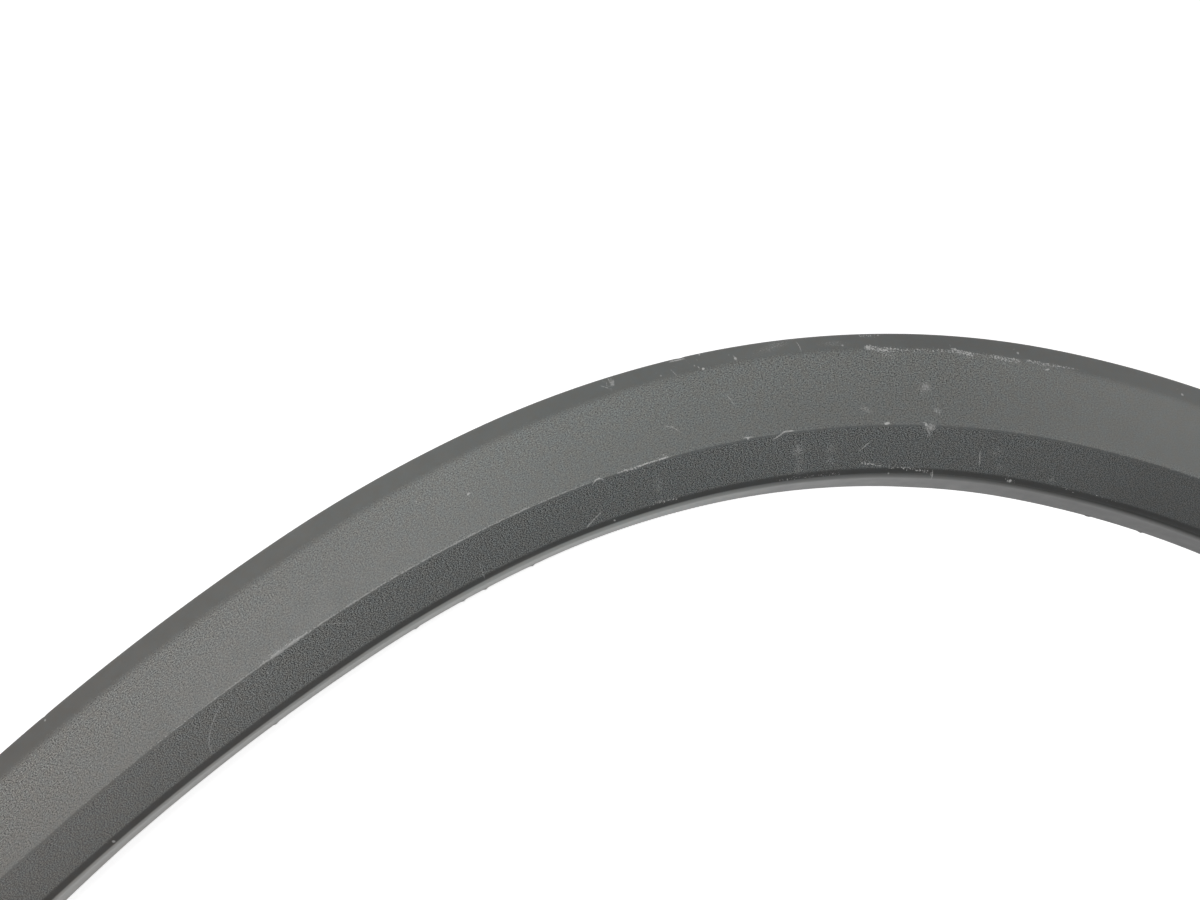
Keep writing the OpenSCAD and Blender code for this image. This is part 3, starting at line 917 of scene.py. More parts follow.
def shaded(tree, tint, shade):
    """A colour made lighter or darker by a number."""
    grey = put(tree, "CombineColor", None, {0: shade, 1: shade, 2: shade}).outputs[0]
    return mixed(tree, 1.0, tint, grey, "MULTIPLY")


def tone_ramp(tree, value, *colours):
    """A colour that drifts evenly through the given ones as value goes from 0 to 1."""
    node = put(tree, "ValToRGB", None, {0: value})
    ramp = node.color_ramp
    last = len(colours) - 1
    ramp.elements[0].color = rgba(colours[0])
    ramp.elements[1].color = rgba(colours[-1])
    for i in range(1, last):
        ramp.elements.new(i / last).color = rgba(colours[i])
    return node.outputs[0]


def read(tree, name):
    """A number stored on the vertices."""
    return put(tree, "Attribute", {"attribute_name": name}).outputs["Fac"]


def rgba(value):
    """A colour with full alpha."""
    return (value[0], value[1], value[2], 1.0)


def new_material(name):
    """A material with one shader, ready for nodes."""
    material = bpy.data.materials.new(name)
    material.use_nodes = True
    tree = material.node_tree
    tree.nodes.clear()
    shader = put(tree, "BsdfPrincipled")
    out = put(tree, "OutputMaterial")
    tree.links.new(shader.outputs[0], out.inputs[0])
    return material, tree, shader


def finished(tree, shader, tint, rough, height):
    """Feeds a shader its colour, its roughness and its relief, as a height in metres."""
    bump = put(tree, "Bump", None, {"Strength": 1.0, "Distance": 1.0, "Height": height})
    tree.links.new(tint, shader.inputs["Base Color"])
    tree.links.new(rough, shader.inputs["Roughness"])
    tree.links.new(bump.outputs[0], shader.inputs["Normal"])


def skin_material(finish):
    """Used polypropylene: sand grain, leather grain and smooth strips, scuffed and scratched."""
    material, tree, shader = new_material("grained_plastic")
    skin = skin_grain(tree)
    pale = worn_places(tree, skin)
    tint = shaded(tree, strip_colours(tree, skin, finish), skin_shade(tree, skin))
    tint = mixed(tree, pale, tint, rgba(finish.scuff))

    rough = times_plus(tree, skin.blots, 0.14, 0.30)
    rough = times_plus(tree, calc(tree, "ADD", skin.sand, skin.leather), 0.14, rough)
    rough = times_plus(tree, pale, 0.2, rough)
    shader.inputs["IOR"].default_value = 1.46

    lumps = times(tree, skin.cells, skin.leather, finish.leather_height)
    height = times(tree, skin.grains, skin.depth, finish.sand_height)
    height = calc(tree, "ADD", height, lumps)
    height = times_plus(tree, skin.blots, 0.00003, height)
    height = times_plus(tree, pale, 0.00002, height)
    finished(tree, shader, tint, rough, height)
    return material


def skin_grain(tree):
    """The patterns of the skin, and how strongly each shows on each strip."""
    place = put(tree, "TexCoord").outputs["Object"]
    over, ridge = read(tree, "over"), read(tree, "from_ridge")
    grain, bent = read(tree, "grain"), read(tree, "bent")
    sheet = put(tree, "CombineXYZ", None, {0: read(tree, "along"), 1: over}).outputs[0]
    crumbs = noise(tree, sheet, 1.3, 2, 0.6)
    uneven = minus(tree, crumbs, 0.5)
    # The lower band starts on a ragged line, and the roll's painted shade raggedly where the band fades
    ragged = times_plus(tree, uneven, 3.6, ridge)
    below = times(tree, read(tree, "below"), steep(tree, ragged, -0.05, 0.3))
    torn = calc(tree, "ADD", bent, uneven)
    # The sand grain starts raggedly past the bevel and is shallower towards the ridge
    start = times_plus(tree, crumbs, 10.0, minus(tree, over, 5.0))
    started = steep(tree, start, 9.6, 13.4)
    sand = times(tree, read(tree, "sand"), started, minus(tree, 1.0, below))
    shallower = steep(tree, read(tree, "across"), 0.35, 1.0, 1.0, 0.7)
    # The leather has short swellings that are longer along the trim
    swells = noise(tree, stretched(tree, sheet, 0.66, 1.1), 2.35, 0, 0.5)
    fading = steep(tree, ridge, 5, 9, 1.0, 0.9)
    return SimpleNamespace(
        place=place, sheet=sheet, ridge=ridge, crumbs=crumbs, uneven=uneven, below=below,
        sand=sand, depth=times(tree, sand, grain, shallower),
        bent=times(tree, steep(tree, torn, 0.35, 0.75), steep(tree, bent, 0.02, 0.15)),
        leather=times(tree, read(tree, "leather"), below, grain, fading),
        grains=noise(tree, stretched(tree, sheet, 0.85, 1.15), 1.6, 1, 0.6),
        cells=steep(tree, swells, 0.27, 0.75),
        blots=noise(tree, place, 130, 3),
    )


def strip_colours(tree, skin, finish):
    """Colour by strip, with the painted shade of the roll and the painted highlight on the outer edge,
    then its cast along the trim, and a faint motley.
    """
    tint = mixed(tree, skin.sand, rgba(finish.smooth), rgba(finish.face))
    tint = mixed(tree, skin.below, tint, rgba(finish.band))
    # The roll gets its painted shade
    tint = mixed(tree, skin.bent, tint, rgba(finish.roll))
    tint = mixed(tree, read(tree, "lip"), tint, rgba(finish.flange))
    # The outer edge gets its painted highlight
    tint = mixed(tree, read(tree, "rim_edge"), tint, rgba(finish.edge))
    hues = tone_ramp(tree, read(tree, "drift"), finish.left_hue, finish.middle_hue,
                     finish.right_hue)
    tint = mixed(tree, 1.0, tint, hues, "MULTIPLY")
    tint = mixed(tree, read(tree, "hidden"), tint, rgba(finish.back))
    warm, cool = (1.02, 0.995, 0.97, 1), (0.98, 1.005, 1.02, 1)
    motley = steep(tree, noise(tree, skin.place, 260, 3, 0.6), 0.34, 0.66)
    return mixed(tree, 1.0, tint, mixed(tree, motley, warm, cool), "MULTIPLY")


def skin_shade(tree, skin):
    """How light the skin is: its tone by strip, painted light and shade along the trim with a painted
    sheen where the roll ends, a painted shade from the outer edge towards the ridge, clouds, and the pits
    of both grains.
    """
    # The tones carry painted light and shade along the trim, and the painted sheen where the roll ends
    tone = blend(tree, skin.below, read(tree, "upper_tone"), read(tree, "lower_tone"))
    clouds = times_plus(tree, noise(tree, skin.place, 22, 3), 0.1, 0.95)
    blots = times_plus(tree, skin.blots, 0.1, 0.95)
    # Painted light across the skin: lighter near the outer edge, darker towards the ridge
    slope = steep(tree, read(tree, "across"), 0.2, 1.0, 1.05, 0.9)
    pits = times(tree, minus(tree, skin.grains, 0.5), 3.4)
    creases = times(tree, minus(tree, skin.cells, 0.48), 2.2)
    pitted = times_plus(tree, pits, skin.depth, 1.0)
    creased = times_plus(tree, creases, skin.leather, 1.0)
    return times(tree, tone, clouds, blots, slope, pitted, creased)


def worn_places(tree, skin):
    """How whitened the plastic is: the rubbed ridge, smudges, rubs, specks and scratches."""
    # The rubbed ridge, a thin line that thins out and breaks
    patches = noise(tree, skin.sheet, 0.16, 3, 0.7)
    width = times(tree, read(tree, "worn"), steep(tree, patches, 0.3, 0.66, 0.6, 1.3))
    line = minus(tree, width, calc(tree, "ABSOLUTE", skin.ridge))
    line = times_plus(tree, skin.uneven, 2.2, line)
    line = times(tree, steep(tree, line, 0.0, 0.4), 0.55)

    # Smudges and rubs stay on the peaks of the grain
    fine = noise(tree, skin.sheet, 1.15, 2, 0.7)
    smudge = read(tree, "smudge")
    peaks = times_plus(tree, fine, 2.2, smudge)
    smudged = times(tree, steep(tree, peaks, 1.3, 2.2), 0.75, steep(tree, smudge, 0.02, 0.2))
    rub = times(tree, read(tree, "rub"), times_plus(tree, patches, 1.8, 0.1))
    peaks = times_plus(tree, fine, 3.4, rub)
    rubbed = times(tree, steep(tree, peaks, 2.45, 2.68), steep(tree, rub, 0.05, 0.3))

    # Scratches, ragged at their edges and broken along their length
    reach = times(tree, read(tree, "scrape_width"), steep(tree, skin.crumbs, 0.33, 0.66, 0.5, 1.6))
    reach = minus(tree, reach, calc(tree, "ABSOLUTE", read(tree, "scrape_side")))
    broken = steep(tree, skin.crumbs, 0.38, 0.54, 0.5, 1.0)
    scraped = times(tree, steep(tree, reach, -0.1, 0.16), broken, read(tree, "scrape_depth"))

    # Specks with crumbly edges
    x, y = read(tree, "speck_x"), read(tree, "speck_y")
    away = calc(tree, "SQRT", times_plus(tree, x, x, times(tree, y, y)))
    away = times_plus(tree, skin.crumbs, 0.9, minus(tree, away, 0.45))
    spot = steep(tree, minus(tree, read(tree, "speck_radius"), away), -0.12, 0.2)
    spot = times(tree, spot, read(tree, "speck_depth"))
    return largest(tree, smudged, line, rubbed, scraped, spot)


def rib_material(finish):
    """The hidden side of the moulding: smoother, with flow marks and a little dust."""
    material, tree, shader = new_material("moulded_ribs")
    place = put(tree, "TexCoord").outputs["Object"]
    flow = noise(tree, place, 45, 4, 0.6, 1.2)
    dust = steep(tree, noise(tree, place, 90, 4, 0.7), 0.52, 0.8)
    tint = shaded(tree, rgba(finish.back), times_plus(tree, flow, 0.3, 0.85))
    tint = mixed(tree, times(tree, dust, 0.25), tint, rgba(finish.scuff))
    shader.inputs["IOR"].default_value = 1.46
    height = times(tree, noise(tree, place, 1100, 2), 0.000012)
    height = times_plus(tree, flow, 0.00005, height)
    finished(tree, shader, tint, times_plus(tree, flow, 0.2, 0.36), height)
    return material


def nylon_material(finish):
    """Natural nylon, a little cloudy and yellowed."""
    material, tree, shader = new_material("clip_nylon")
    place = put(tree, "TexCoord").outputs["Object"]
    clouds = noise(tree, place, 180, 3)
    aged = (finish.nylon[0] * 0.86, finish.nylon[1] * 0.8, finish.nylon[2] * 0.66, 1)
    tint = mixed(tree, steep(tree, clouds, 0.35, 0.7), rgba(finish.nylon), aged)
    rough = times_plus(tree, noise(tree, place, 1500, 2), 0.15, 0.26)
    shader.inputs["IOR"].default_value = 1.53
    shader.inputs["Subsurface Weight"].default_value = 0.12
    shader.inputs["Subsurface Scale"].default_value = 0.002
    finished(tree, shader, tint, rough, times(tree, clouds, 0.00003))
    return material


def rubber_material(finish):
    """Soft closed-cell rubber with fine pores."""
    material, tree, shader = new_material("seal_rubber")
    place = put(tree, "TexCoord").outputs["Object"]
    clouds = noise(tree, place, 260, 3)
    tint = shaded(tree, rgba(finish.rubber), times_plus(tree, clouds, 0.7, 0.65))
    rough = times_plus(tree, clouds, 0.2, 0.68)
    cells = {"Vector": place, "Scale": 1300.0}
    pores = put(tree, "TexVoronoi", {"feature": "F1"}, cells).outputs[0]
    finished(tree, shader, tint, rough, times(tree, pores, 0.00012))
    return material


class ARCH_OT_skin(bpy.types.Operator):
    """Sweep the grained skin of the trim along its arcs"""

    bl_idname = "arch.skin"
    bl_label = "Skin"

    def execute(self, context):
        scene = context.scene
        path, section = scene.arch_path, Section(scene.arch_section)
        stations = self.stations(path)
        x, y, heading = edge_places(path, stations)
        count, rings = len(section.points), len(stations)
        along = np.repeat(stations, count)
        over = np.tile(section.over, rings)
        zones = np.tile(section.zones, rings)
        seen = (zones != "inside").astype(float)
        d, z = (np.tile(column, rings) for column in section.points.T)
        inward = warped(section, along, d, z)
        d = self.damaged(along, inward, z, seen)
        px = np.repeat(x, count) - np.sin(np.repeat(heading, count)) * d
        py = np.repeat(y, count) - np.cos(np.repeat(heading, count)) * d
        grid = np.arange(rings * count).reshape(rings, count)
        a, b = grid[:-1], grid[1:]
        quads = np.stack([a, np.roll(a, -1, 1), np.roll(b, -1, 1), b], -1).reshape(-1, 4)
        mesh = bpy.data.meshes.new("arch_skin")
        caps = [grid[0][::-1].tolist(), grid[-1].tolist()]
        mesh.from_pydata(np.stack([px, py, z], 1).tolist(), [], quads.tolist() + caps)
        turn_out(mesh, 40)
        self.store_strips(mesh, section, along, over, zones, seen)
        self.store_marks(mesh, along, inward, seen)
        piece = in_scene("arch_skin", mesh, skin_material(scene.arch_finish))
        self.drill(context, piece, section)
        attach(piece, "root")
        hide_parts("arch_moulding")
        return {"FINISHED"}

    @staticmethod
    def stations(path):
        """Distances along the trim of the rings that the skin is swept through."""
        left = reach_of(path.left_radii, path.left_sweeps)
        right = reach_of(path.right_radii, path.right_sweeps)
        first, last = path.close
        return np.concatenate(
            [
                np.arange(-left, first, path.plain_step),
                np.arange(first, last, path.fine_step),
                np.arange(last, right - path.plain_step / 2, path.plain_step),
                [right],
            ]
        )

    @staticmethod
    def damaged(along, d, z, seen):
        """Distances from the outer edge with the burrs on the rim and the nicks in the edge."""
        for place in RIM_BURRS:
            low = z < BURR_REACH * MM
            d = d + BURR_HIGH * MM * bell(along / MM, place, BURR_HALF) * low * seen
        for place in EDGE_NICKS:
            outermost = np.clip(1 - d / (NICK_REACH * MM), 0, 1)
            d = d + NICK_DEEP * MM * bell(along / MM, place, NICK_HALF) * outermost * seen
        return d

    @staticmethod
    def store_strips(mesh, section, along, over, zones, seen):
        """Stores where the strips of the skin lie, with their tones, which are painted light and shade,
        and their grain.
        """
        band_end, roll_end = section.last_of("band"), section.last_of("roll")
        from_ridge = over - section.middle_of("ridge")
        sooner, paler = columns(FLANGE_DRIFT, along)
        fade = 1 - smooth_step(over - band_end, *LEATHER_FADE)
        below = smooth_step(from_ridge, *BAND_EDGE)
        lip = smooth_step(over - roll_end + sooner * MM, *FLANGE_START)
        # Strip tones: painted light and shade along the trim, the flange's partly a painted reflection
        bevel, face, band, flange, sandy, leathery = columns(TONES, along)
        band = band * (1 - BAND_DARKER * smooth_step(from_ridge, *BAND_SHADE))
        # The painted sheen, a pale highlight along the end of the roll
        sheen = paler * bell(over, roll_end + SHEEN_PLACE, SHEEN_HALF) * seen
        point_values(
            mesh,
            sand=np.isin(zones, ("bevel", "shoulder", "face", "ridge")),
            leather=(zones == "band") * fade,
            hidden=1 - seen,
            # Where the painted highlight on the outer edge lies
            rim_edge=1 - smooth_step(over, *RIM_EDGE),
            below=below,
            lip=lip * seen,
            # Where the roll's painted shade lies
            bent=below * (1 - fade) * (1 - lip) * seen,
            upper_tone=bevel + (face - bevel) * smooth_step(over, *FACE_TONE),
            lower_tone=(band * (1 - lip) + flange * lip) * (1 + sheen),
            grain=sandy * (1 - below) + leathery * below,
            drift=np.clip((along + 0.5) / 0.7, 0, 1),
            along=along / MM,
            over=over / MM,
            across=np.clip(over / section.middle_of("ridge"), 0, 1),
            from_ridge=np.clip(from_ridge / MM, -9, 9),
        )

    @staticmethod
    def store_marks(mesh, along, inward, seen):
        """Stores where the skin is rubbed, smudged, scratched and specked."""
        side, width, scraped = scrape_field(along, inward)
        walked, across, radius, specked = speck_field(along, inward)
        point_values(
            mesh,
            worn=columns(RIDGE_WEAR, along)[0] * seen,
            smudge=smudge_field(along, inward) * seen,
            rub=rub_field(along, inward) * seen,
            scrape_side=side,
            scrape_width=width,
            scrape_depth=scraped * seen,
            speck_x=walked,
            speck_y=across,
            speck_radius=radius,
            speck_depth=specked * seen,
        )

    def drill(self, context, piece, section):
        """Cuts the two liner screw holes through the flange."""
        scene = context.scene
        path, ribs = scene.arch_path, scene.arch_ribs
        ends = rib_places(path, ribs)
        cutter = Shape()
        reach, radius = 3 * section.sec.wall, ribs.liner_hole / 2
        verts, faces = lathe([(0, -reach), (radius, -reach), (radius, reach), (0, reach)])
        tip = Matrix.Translation((section.flange_inside(ribs.liner_z), 0, ribs.liner_z))
        lean = Matrix.Rotation(math.pi / 2 - math.atan(section.lean), 4, "Y")
        for far in (ends.right - ribs.liner_inset, -ends.left + ribs.liner_inset):
            cutter.add(verts, faces, frame_at(path, far) @ tip @ lean)
        tool = cutter.build("drill", piece.data.materials[0])
        cut = piece.modifiers.new("holes", "BOOLEAN")
        cut.operation, cut.object, cut.solver = "DIFFERENCE", tool, "EXACT"
        context.view_layer.update()
        done = bpy.data.meshes.new_from_object(
            piece.evaluated_get(context.evaluated_depsgraph_get())
        )
        if len(done.polygons) < len(piece.data.polygons):
            raise RuntimeError("the liner holes could not be cut")
        piece.modifiers.clear()
        piece.data = done
        bpy.data.objects.remove(tool)


class ARCH_OT_towers(bpy.types.Operator):
    """Build the slotted towers that hold the clips"""

    bl_idname = "arch.towers"
    bl_label = "Clip towers"

    def execute(self, context):
        scene = context.scene
        path, ribs, clips = scene.arch_path, scene.arch_ribs, scene.arch_clips
        section = Section(scene.arch_section)
        wall, chamfer = ribs.tower_wall, ribs.chamfer
        low, high = ribs.clip_d - ribs.tower_half, ribs.clip_d + ribs.tower_half
        floor = section.panel_z + clips.seal_t + clips.flange_t + clips.gap
        half = (ribs.tower_w - wall) / 2

        def wall_between(near, far):
            top_near, top_far = (section.under(d) + section.sec.seat for d in (near, far))
            return [(near, floor), (far, floor), (far, top_far), (near, top_near)]

        cheek, back = wall_between(low, high), wall_between(low, low + wall)
        bore = clips.neck_dia / 2 + clips.gap
        throat = clips.neck_dia / 2 - clips.gap
        meet = math.asin(throat / bore)
        seat = arc_points((ribs.clip_d, 0), bore, meet, 2 * (math.pi - meet), 28)
        slab = [(high, throat), (high, half), (low, half), (low, -half), (high, -half)]
        slab += [(high, -throat)] + seat[::-1]
        shape = Shape()
        for far in rib_places(path, ribs).clips:
            here = frame_at(path, far)
            for side in (-half, half):
                aside = Matrix.Translation((0, side, 0))
                shape.add(*upright(cheek, wall, chamfer), here @ aside @ STAND)
            shape.add(*upright(back, 2 * half, chamfer), here @ STAND)
            shape.add(*plate([slab], floor, floor + ribs.tower_floor, chamfer), here)
        piece = shape.build("clip_towers", bpy.data.materials["moulded_ribs"])
        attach(piece, "root")
        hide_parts("arch_moulding")
        return {"FINISHED"}


class ARCH_OT_gussets(bpy.types.Operator):
    """Build the gussets and the locator pins with their bosses"""

    bl_idname = "arch.gussets"
    bl_label = "Gussets and locator pins"

    def execute(self, context):
        scene = context.scene
        path, ribs = scene.arch_path, scene.arch_ribs
        section = Section(scene.arch_section)
        places = rib_places(path, ribs)
        seat = section.sec.seat
        corner_d, corner_z = section.inner[3]
        tip_d = section.flange_inside(ribs.gusset_z)
        outline = [
            (tip_d, ribs.gusset_z), (tip_d + seat, ribs.gusset_z), (corner_d, corner_z + seat),
            (ribs.gusset_d, section.under(ribs.gusset_d) + seat),
        ]
        gussets = Shape()
        for far in places.gussets:
            gussets.add(*upright(outline, ribs.gusset_t, ribs.chamfer), frame_at(path, far) @ STAND)
        pins = Shape()
        middle = Matrix.Translation((ribs.clip_d, 0, 0))
        for far in places.pins:
            pins.add(*self.pin(ribs, section), frame_at(path, far) @ middle)
        moulded = bpy.data.materials["moulded_ribs"]
        for shape, name in ((gussets, "gussets"), (pins, "locator_pins")):
            made = shape.build(name, moulded)
            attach(made, "root")
            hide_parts("arch_moulding")
        return {"FINISHED"}

    @staticmethod
    def pin(ribs, section):
        """A locator pin with a pointed tip, on a boss that runs into the skin."""
        land, top = section.panel_z, section.under(ribs.clip_d)
        pin, boss, chamfer = ribs.pin_dia / 2, ribs.boss_dia / 2, ribs.chamfer
        point, fillet, sink, draw = 0.001, 0.0003, 0.0004, 0.0012
        return lathe([
            (0, ribs.pin_tip_z), (pin - point, ribs.pin_tip_z), (pin, ribs.pin_tip_z + point),
            (pin, land - fillet), (pin + fillet, land), (boss - chamfer, land),
            (boss, land + chamfer), (boss, top - sink), (boss - draw, top + section.sec.seat),
            (0, top + section.sec.seat),
        ])


class ARCH_OT_ends(bpy.types.Operator):
    """Build the walls and screw tabs that close both ends"""

    bl_idname = "arch.ends"
    bl_label = "End closures"

    def execute(self, context):
        scene = context.scene
        path, ribs = scene.arch_path, scene.arch_ribs
        section = Section(scene.arch_section)
        seat, chamfer = section.sec.seat, ribs.chamfer
        raised = [(p[0], p[1] + seat) for p in section.inner]
        low = section.flange_inside(ribs.end_wall_z) + seat
        wall = [raised[0], (low, ribs.end_wall_z), raised[3], raised[2], raised[1]]
        inset = ribs.end_recess + ribs.end_wall
        middle, half = (ribs.tab_d, ribs.tab_reach), ribs.tab_w / 2
        tab = [(ribs.tab_d - half, -inset), (ribs.tab_d + half, -inset)]
        tab += arc_points(middle, half, 0, math.pi, 24)
        hole = arc_points(middle, ribs.tab_hole / 2, 0, -2 * math.pi, 40)[:-1]
        land, ends = section.panel_z, rib_places(path, ribs)
        shape = Shape()
        for far, away in ((ends.right, 1.0), (-ends.left, -1.0)):
            here = frame_at(path, far, away)
            shape.add(*plate([wall], -inset, -ribs.end_recess, chamfer), here @ STAND)
            shape.add(*plate([tab, hole], land, land + ribs.tab_t, chamfer), here)
        piece = shape.build("end_closures", bpy.data.materials["moulded_ribs"])
        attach(piece, "root")
        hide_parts("arch_moulding")
        return {"FINISHED"}


class ARCH_OT_clips(bpy.types.Operator):
    """Build the push-in clips"""

    bl_idname = "arch.clips"
    bl_label = "Retaining clips"

    def execute(self, context):
        scene = context.scene
        section = Section(scene.arch_section)
        material = nylon_material(scene.arch_finish)
        verts, faces = lathe(self.profile(scene.arch_clips, scene.arch_ribs.tower_floor))
        for number, here in clip_seats(scene, section):
            shape = Shape()
            shape.add(verts, faces, here)
            piece = shape.build(f"push_clip_{number}", material)
            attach(piece, "root")
            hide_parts(f"retaining_clip_{number}")
        return {"FINISHED"}

    @staticmethod
    def profile(clip, floor):
        """Radius and height of a clip, from its dimpled head down over its barbs to its tip."""
        head = clip.seal_t + clip.flange_t + 2 * clip.gap + floor
        top = head + clip.head_t
        skirt = clip.seal_t + clip.flange_t
        r_head, r_neck, r_skirt = clip.head_dia / 2, clip.neck_dia / 2, clip.flange_dia / 2
        r_shank, r_barb, r_tip = clip.shank_dia / 2, clip.barb_dia / 2, clip.tip_dia / 2
        soft, small, edge = 0.0004, 0.0003, 0.0002
        dimple = [(0, top - 0.0005), (0.0022, top - 0.0005), (0.0027, top - edge), (0.003, top)]
        profile = dimple + [
            (r_head - soft, top), (r_head - 0.3 * soft, top - 0.3 * soft), (r_head, top - soft),
            (r_head, head + edge), (r_head - edge, head), (r_neck + soft, head),
            (r_neck, head - edge), (r_neck, skirt + edge), (r_neck + soft, skirt),
            (r_skirt - small, skirt), (r_skirt, skirt - small), (r_skirt, clip.seal_t + edge),
            (r_skirt - edge, clip.seal_t), (r_shank + small, clip.seal_t),
            (r_shank, clip.seal_t - small),
        ]
        pitch = clip.barb_pitch
        for low in (-pitch * i for i in range(clip.barbs)):
            profile += [
                (r_shank, low), (r_barb - 0.0001, low - 0.32 * pitch), (r_barb, low - 0.38 * pitch),
                (r_barb - soft, low - 0.5 * pitch), (r_shank, low - 0.86 * pitch),
            ]
        end = -pitch * clip.barbs
        blunt = end - clip.tip
        return profile + [(r_shank, end), (r_tip + edge, blunt + edge), (r_tip, blunt), (0, blunt)]


class ARCH_OT_seals(bpy.types.Operator):
    """Build the soft rings under the clips"""

    bl_idname = "arch.seals"
    bl_label = "Clip seals"

    def execute(self, context):
        scene = context.scene
        clip, section = scene.arch_clips, Section(scene.arch_section)
        material = rubber_material(scene.arch_finish)
        soft = 0.0006
        near, far = (clip.shank_dia + clip.gap) / 2 + soft, clip.seal_dia / 2 - soft
        low, high = soft, clip.seal_t - soft
        loop = []
        for middle, first in (((near, low), 180), ((far, low), 270), ((far, high), 0), ((near, high), 90)):
            loop += arc_points(middle, soft, math.radians(first), math.pi / 2, 4)
        verts, faces = ring_of(loop)
        for number, here in clip_seats(scene, section):
            shape = Shape()
            shape.add(verts, faces, here)
            piece = shape.build(f"seal_ring_{number}", material)
            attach(piece, "root")
            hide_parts(f"clip_seal_{number}")
        return {"FINISHED"}


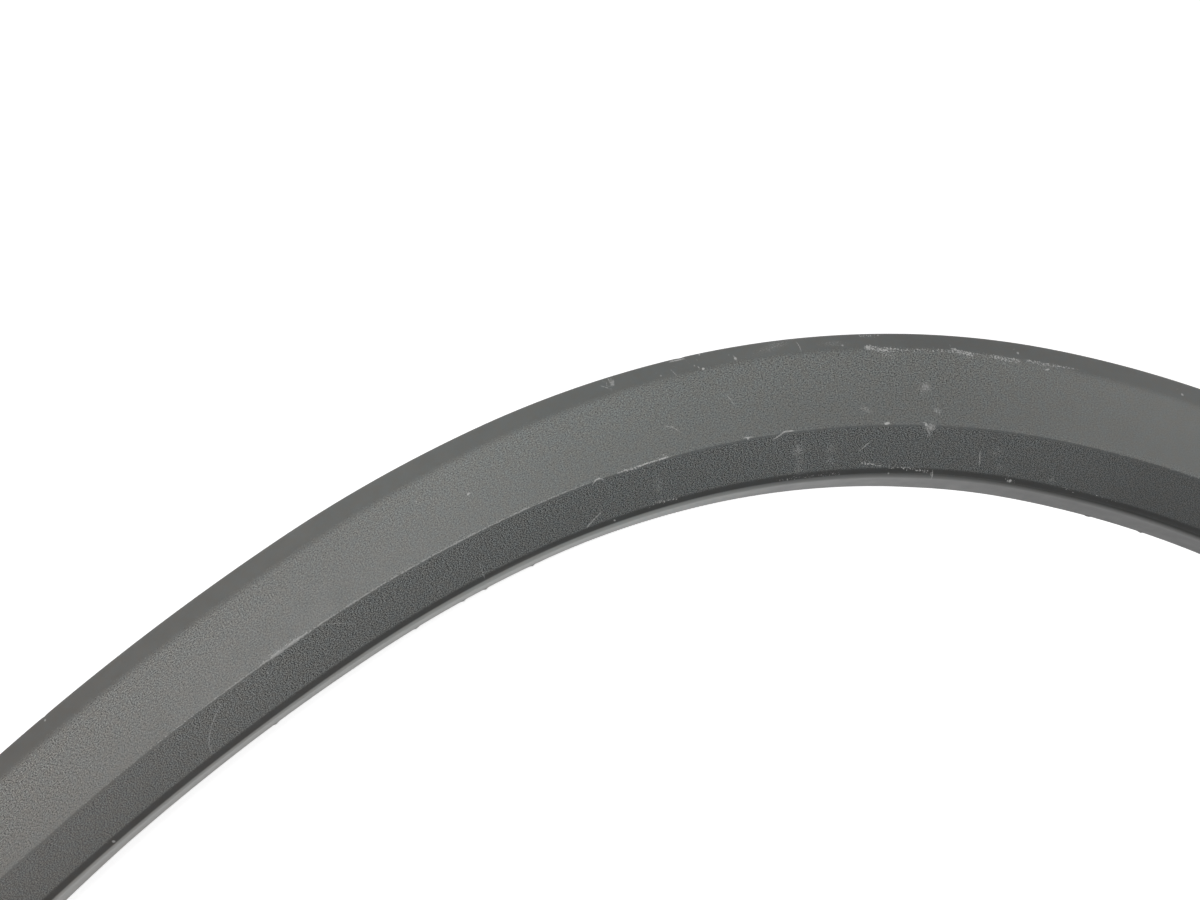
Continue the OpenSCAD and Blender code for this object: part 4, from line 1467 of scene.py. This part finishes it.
class ARCH_OT_stage(bpy.types.Operator):
    """Set up the white table, the light and the camera"""

    bl_idname = "arch.stage"
    bl_label = "Table, light and camera"

    def execute(self, context):
        scene = context.scene
        stage = scene.arch_stage
        scene.view_settings.view_transform = "Standard"
        self.table(scene, stage)
        self.flags(scene, stage)
        self.sky(scene, stage)
        self.lamps(scene, stage)
        self.camera(scene, stage)
        return {"FINISHED"}

    def table(self, scene, stage):
        """A wide white table top."""
        shape = Shape()
        half = stage.table_half
        shape.add([(-half, -half, 0), (half, -half, 0), (half, half, 0), (-half, half, 0)],
                  [(0, 1, 2, 3)])
        material = bpy.data.materials.new("white_table")
        material.use_nodes = True
        tree = material.node_tree
        tree.nodes.clear()
        place = put(tree, "TexCoord").outputs["Object"]
        faint = times_plus(tree, noise(tree, place, 3, 2), 0.02, 0.99)
        matt = put(tree, "BsdfDiffuse", None, {"Color": shaded(tree, rgba(stage.table), faint)})
        ray = put(tree, "LightPath").outputs
        seen = largest(tree, ray["Is Camera Ray"], ray["Is Transmission Ray"])
        strength = times(tree, seen, stage.table_glow)
        strength = times_plus(tree, ray["Is Glossy Ray"], stage.table_shine, strength)
        glow = put(tree, "Emission", None, {"Color": (1, 1, 1, 1), "Strength": strength})
        mix = put(tree, "AddShader", None, {0: matt.outputs[0], 1: glow.outputs[0]})
        out = put(tree, "OutputMaterial")
        tree.links.new(mix.outputs[0], out.inputs[0])
        shape.build("table", material)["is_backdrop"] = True

    def flags(self, scene, stage):
        """A low ring of dark cards round the table, which the plastic's slopes mirror."""
        shape = Shape()
        sides = 48
        ring = arc_points((0, 0), stage.flag_ring, 0, 2 * math.pi, sides)[:-1]
        verts = [(x, y, z) for z in (0.0, stage.flag_high) for x, y in ring]
        faces = [(i, (i + 1) % sides, (i + 1) % sides + sides, i + sides) for i in range(sides)]
        shape.add(verts, faces)
        material, _, shader = new_material("dark_card")
        shader.inputs["Base Color"].default_value = rgba(stage.flag)
        shader.inputs["Roughness"].default_value = 0.9
        card = shape.build("dark_cards", material)
        card.visible_camera = False
        card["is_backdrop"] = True

    def sky(self, scene, stage):
        """Soft light from all round, and white wherever the camera looks past the table."""
        world = bpy.data.worlds.new("soft_room")
        scene.world = world
        world.use_nodes = True
        tree = world.node_tree
        tree.nodes.clear()
        soft = put(tree, "Background", None, {"Color": (1, 1, 1, 1), "Strength": stage.sky})
        white = put(tree, "Background", None, {"Color": (1, 1, 1, 1), "Strength": 1.0})
        ray = put(tree, "LightPath").outputs
        seen = largest(tree, ray["Is Camera Ray"], ray["Is Glossy Ray"], ray["Is Transmission Ray"])
        mix = put(tree, "MixShader", None, {0: seen, 1: soft.outputs[0], 2: white.outputs[0]})
        out = put(tree, "OutputWorld")
        tree.links.new(mix.outputs[0], out.inputs[0])

    def lamps(self, scene, stage):
        """One large soft lamp up on the left."""
        lamp = bpy.data.lights.new("key", "AREA")
        lamp.shape = "DISK"
        lamp.size = stage.key_size
        lamp.energy = stage.key
        key = bpy.data.objects.new("key", lamp)
        scene.collection.objects.link(key)
        key.location = stage.key_place
        aim = Vector(stage.key_aim) - key.location
        key.rotation_mode = "QUATERNION"
        key.rotation_quaternion = aim.to_track_quat("-Z", "Y")

    def camera(self, scene, stage):
        """The camera, almost plumb over the left half of the arch."""
        data = bpy.data.cameras.new("camera")
        data.lens = stage.camera_lens
        data.sensor_width = 36.0
        data.clip_start, data.clip_end = 0.01, 50.0
        camera = bpy.data.objects.new("camera", data)
        scene.collection.objects.link(camera)
        pitch, yaw, roll = stage.camera_turn
        turn = (
            Matrix.Rotation(pitch, 4, "X") @ Matrix.Rotation(yaw, 4, "Y")
            @ Matrix.Rotation(roll, 4, "Z")
        )
        camera.matrix_world = Matrix.Translation(stage.camera_place) @ turn
        scene.camera = camera


class ARCH_PT_panel(bpy.types.Panel):
    """The steps that build the trim, in order"""

    bl_idname = "ARCH_PT_panel"
    bl_label = "Wheel arch trim"
    bl_space_type = "VIEW_3D"
    bl_region_type = "UI"
    bl_category = "Arch trim"

    def draw(self, context):
        for step in STEPS:
            self.layout.operator(step.bl_idname)
        for group in GROUPS:
            box = self.layout.box()
            box.label(text=group.bl_rna.name)
            for name in group.__annotations__:
                box.prop(getattr(context.scene, GROUPS[group]), name)


STEPS = (
    ARCH_OT_skin, ARCH_OT_towers, ARCH_OT_gussets, ARCH_OT_ends, ARCH_OT_clips, ARCH_OT_seals,
    ARCH_OT_stage,
)
GROUPS = {
    ArchPath: "arch_path", ArchSection: "arch_section", ArchRibs: "arch_ribs",
    ArchClips: "arch_clips", ArchFinish: "arch_finish", ArchStage: "arch_stage",
}


def register():
    """Makes the sizes, the steps and the panel known to Blender."""
    for group, name in GROUPS.items():
        bpy.utils.register_class(group)
        setattr(bpy.types.Scene, name, PointerProperty(type=group))
    for step in STEPS:
        bpy.utils.register_class(step)
    bpy.utils.register_class(ARCH_PT_panel)


def unregister():
    """Takes them away again."""
    bpy.utils.unregister_class(ARCH_PT_panel)
    for step in reversed(STEPS):
        bpy.utils.unregister_class(step)
    for group, name in GROUPS.items():
        delattr(bpy.types.Scene, name)
        bpy.utils.unregister_class(group)


def main():
    """Builds the trim on its table and works out how large it is."""
    register()
    rib_material(bpy.context.scene.arch_finish)
    bpy.ops.arch.skin()
    bpy.ops.arch.towers()
    bpy.ops.arch.gussets()
    bpy.ops.arch.ends()
    bpy.ops.arch.clips()
    bpy.ops.arch.seals()
    bpy.ops.arch.stage()
    boxes = [[list(c) for c in box] for box in (cad_box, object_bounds())]


if __name__ == "__main__":
    main()
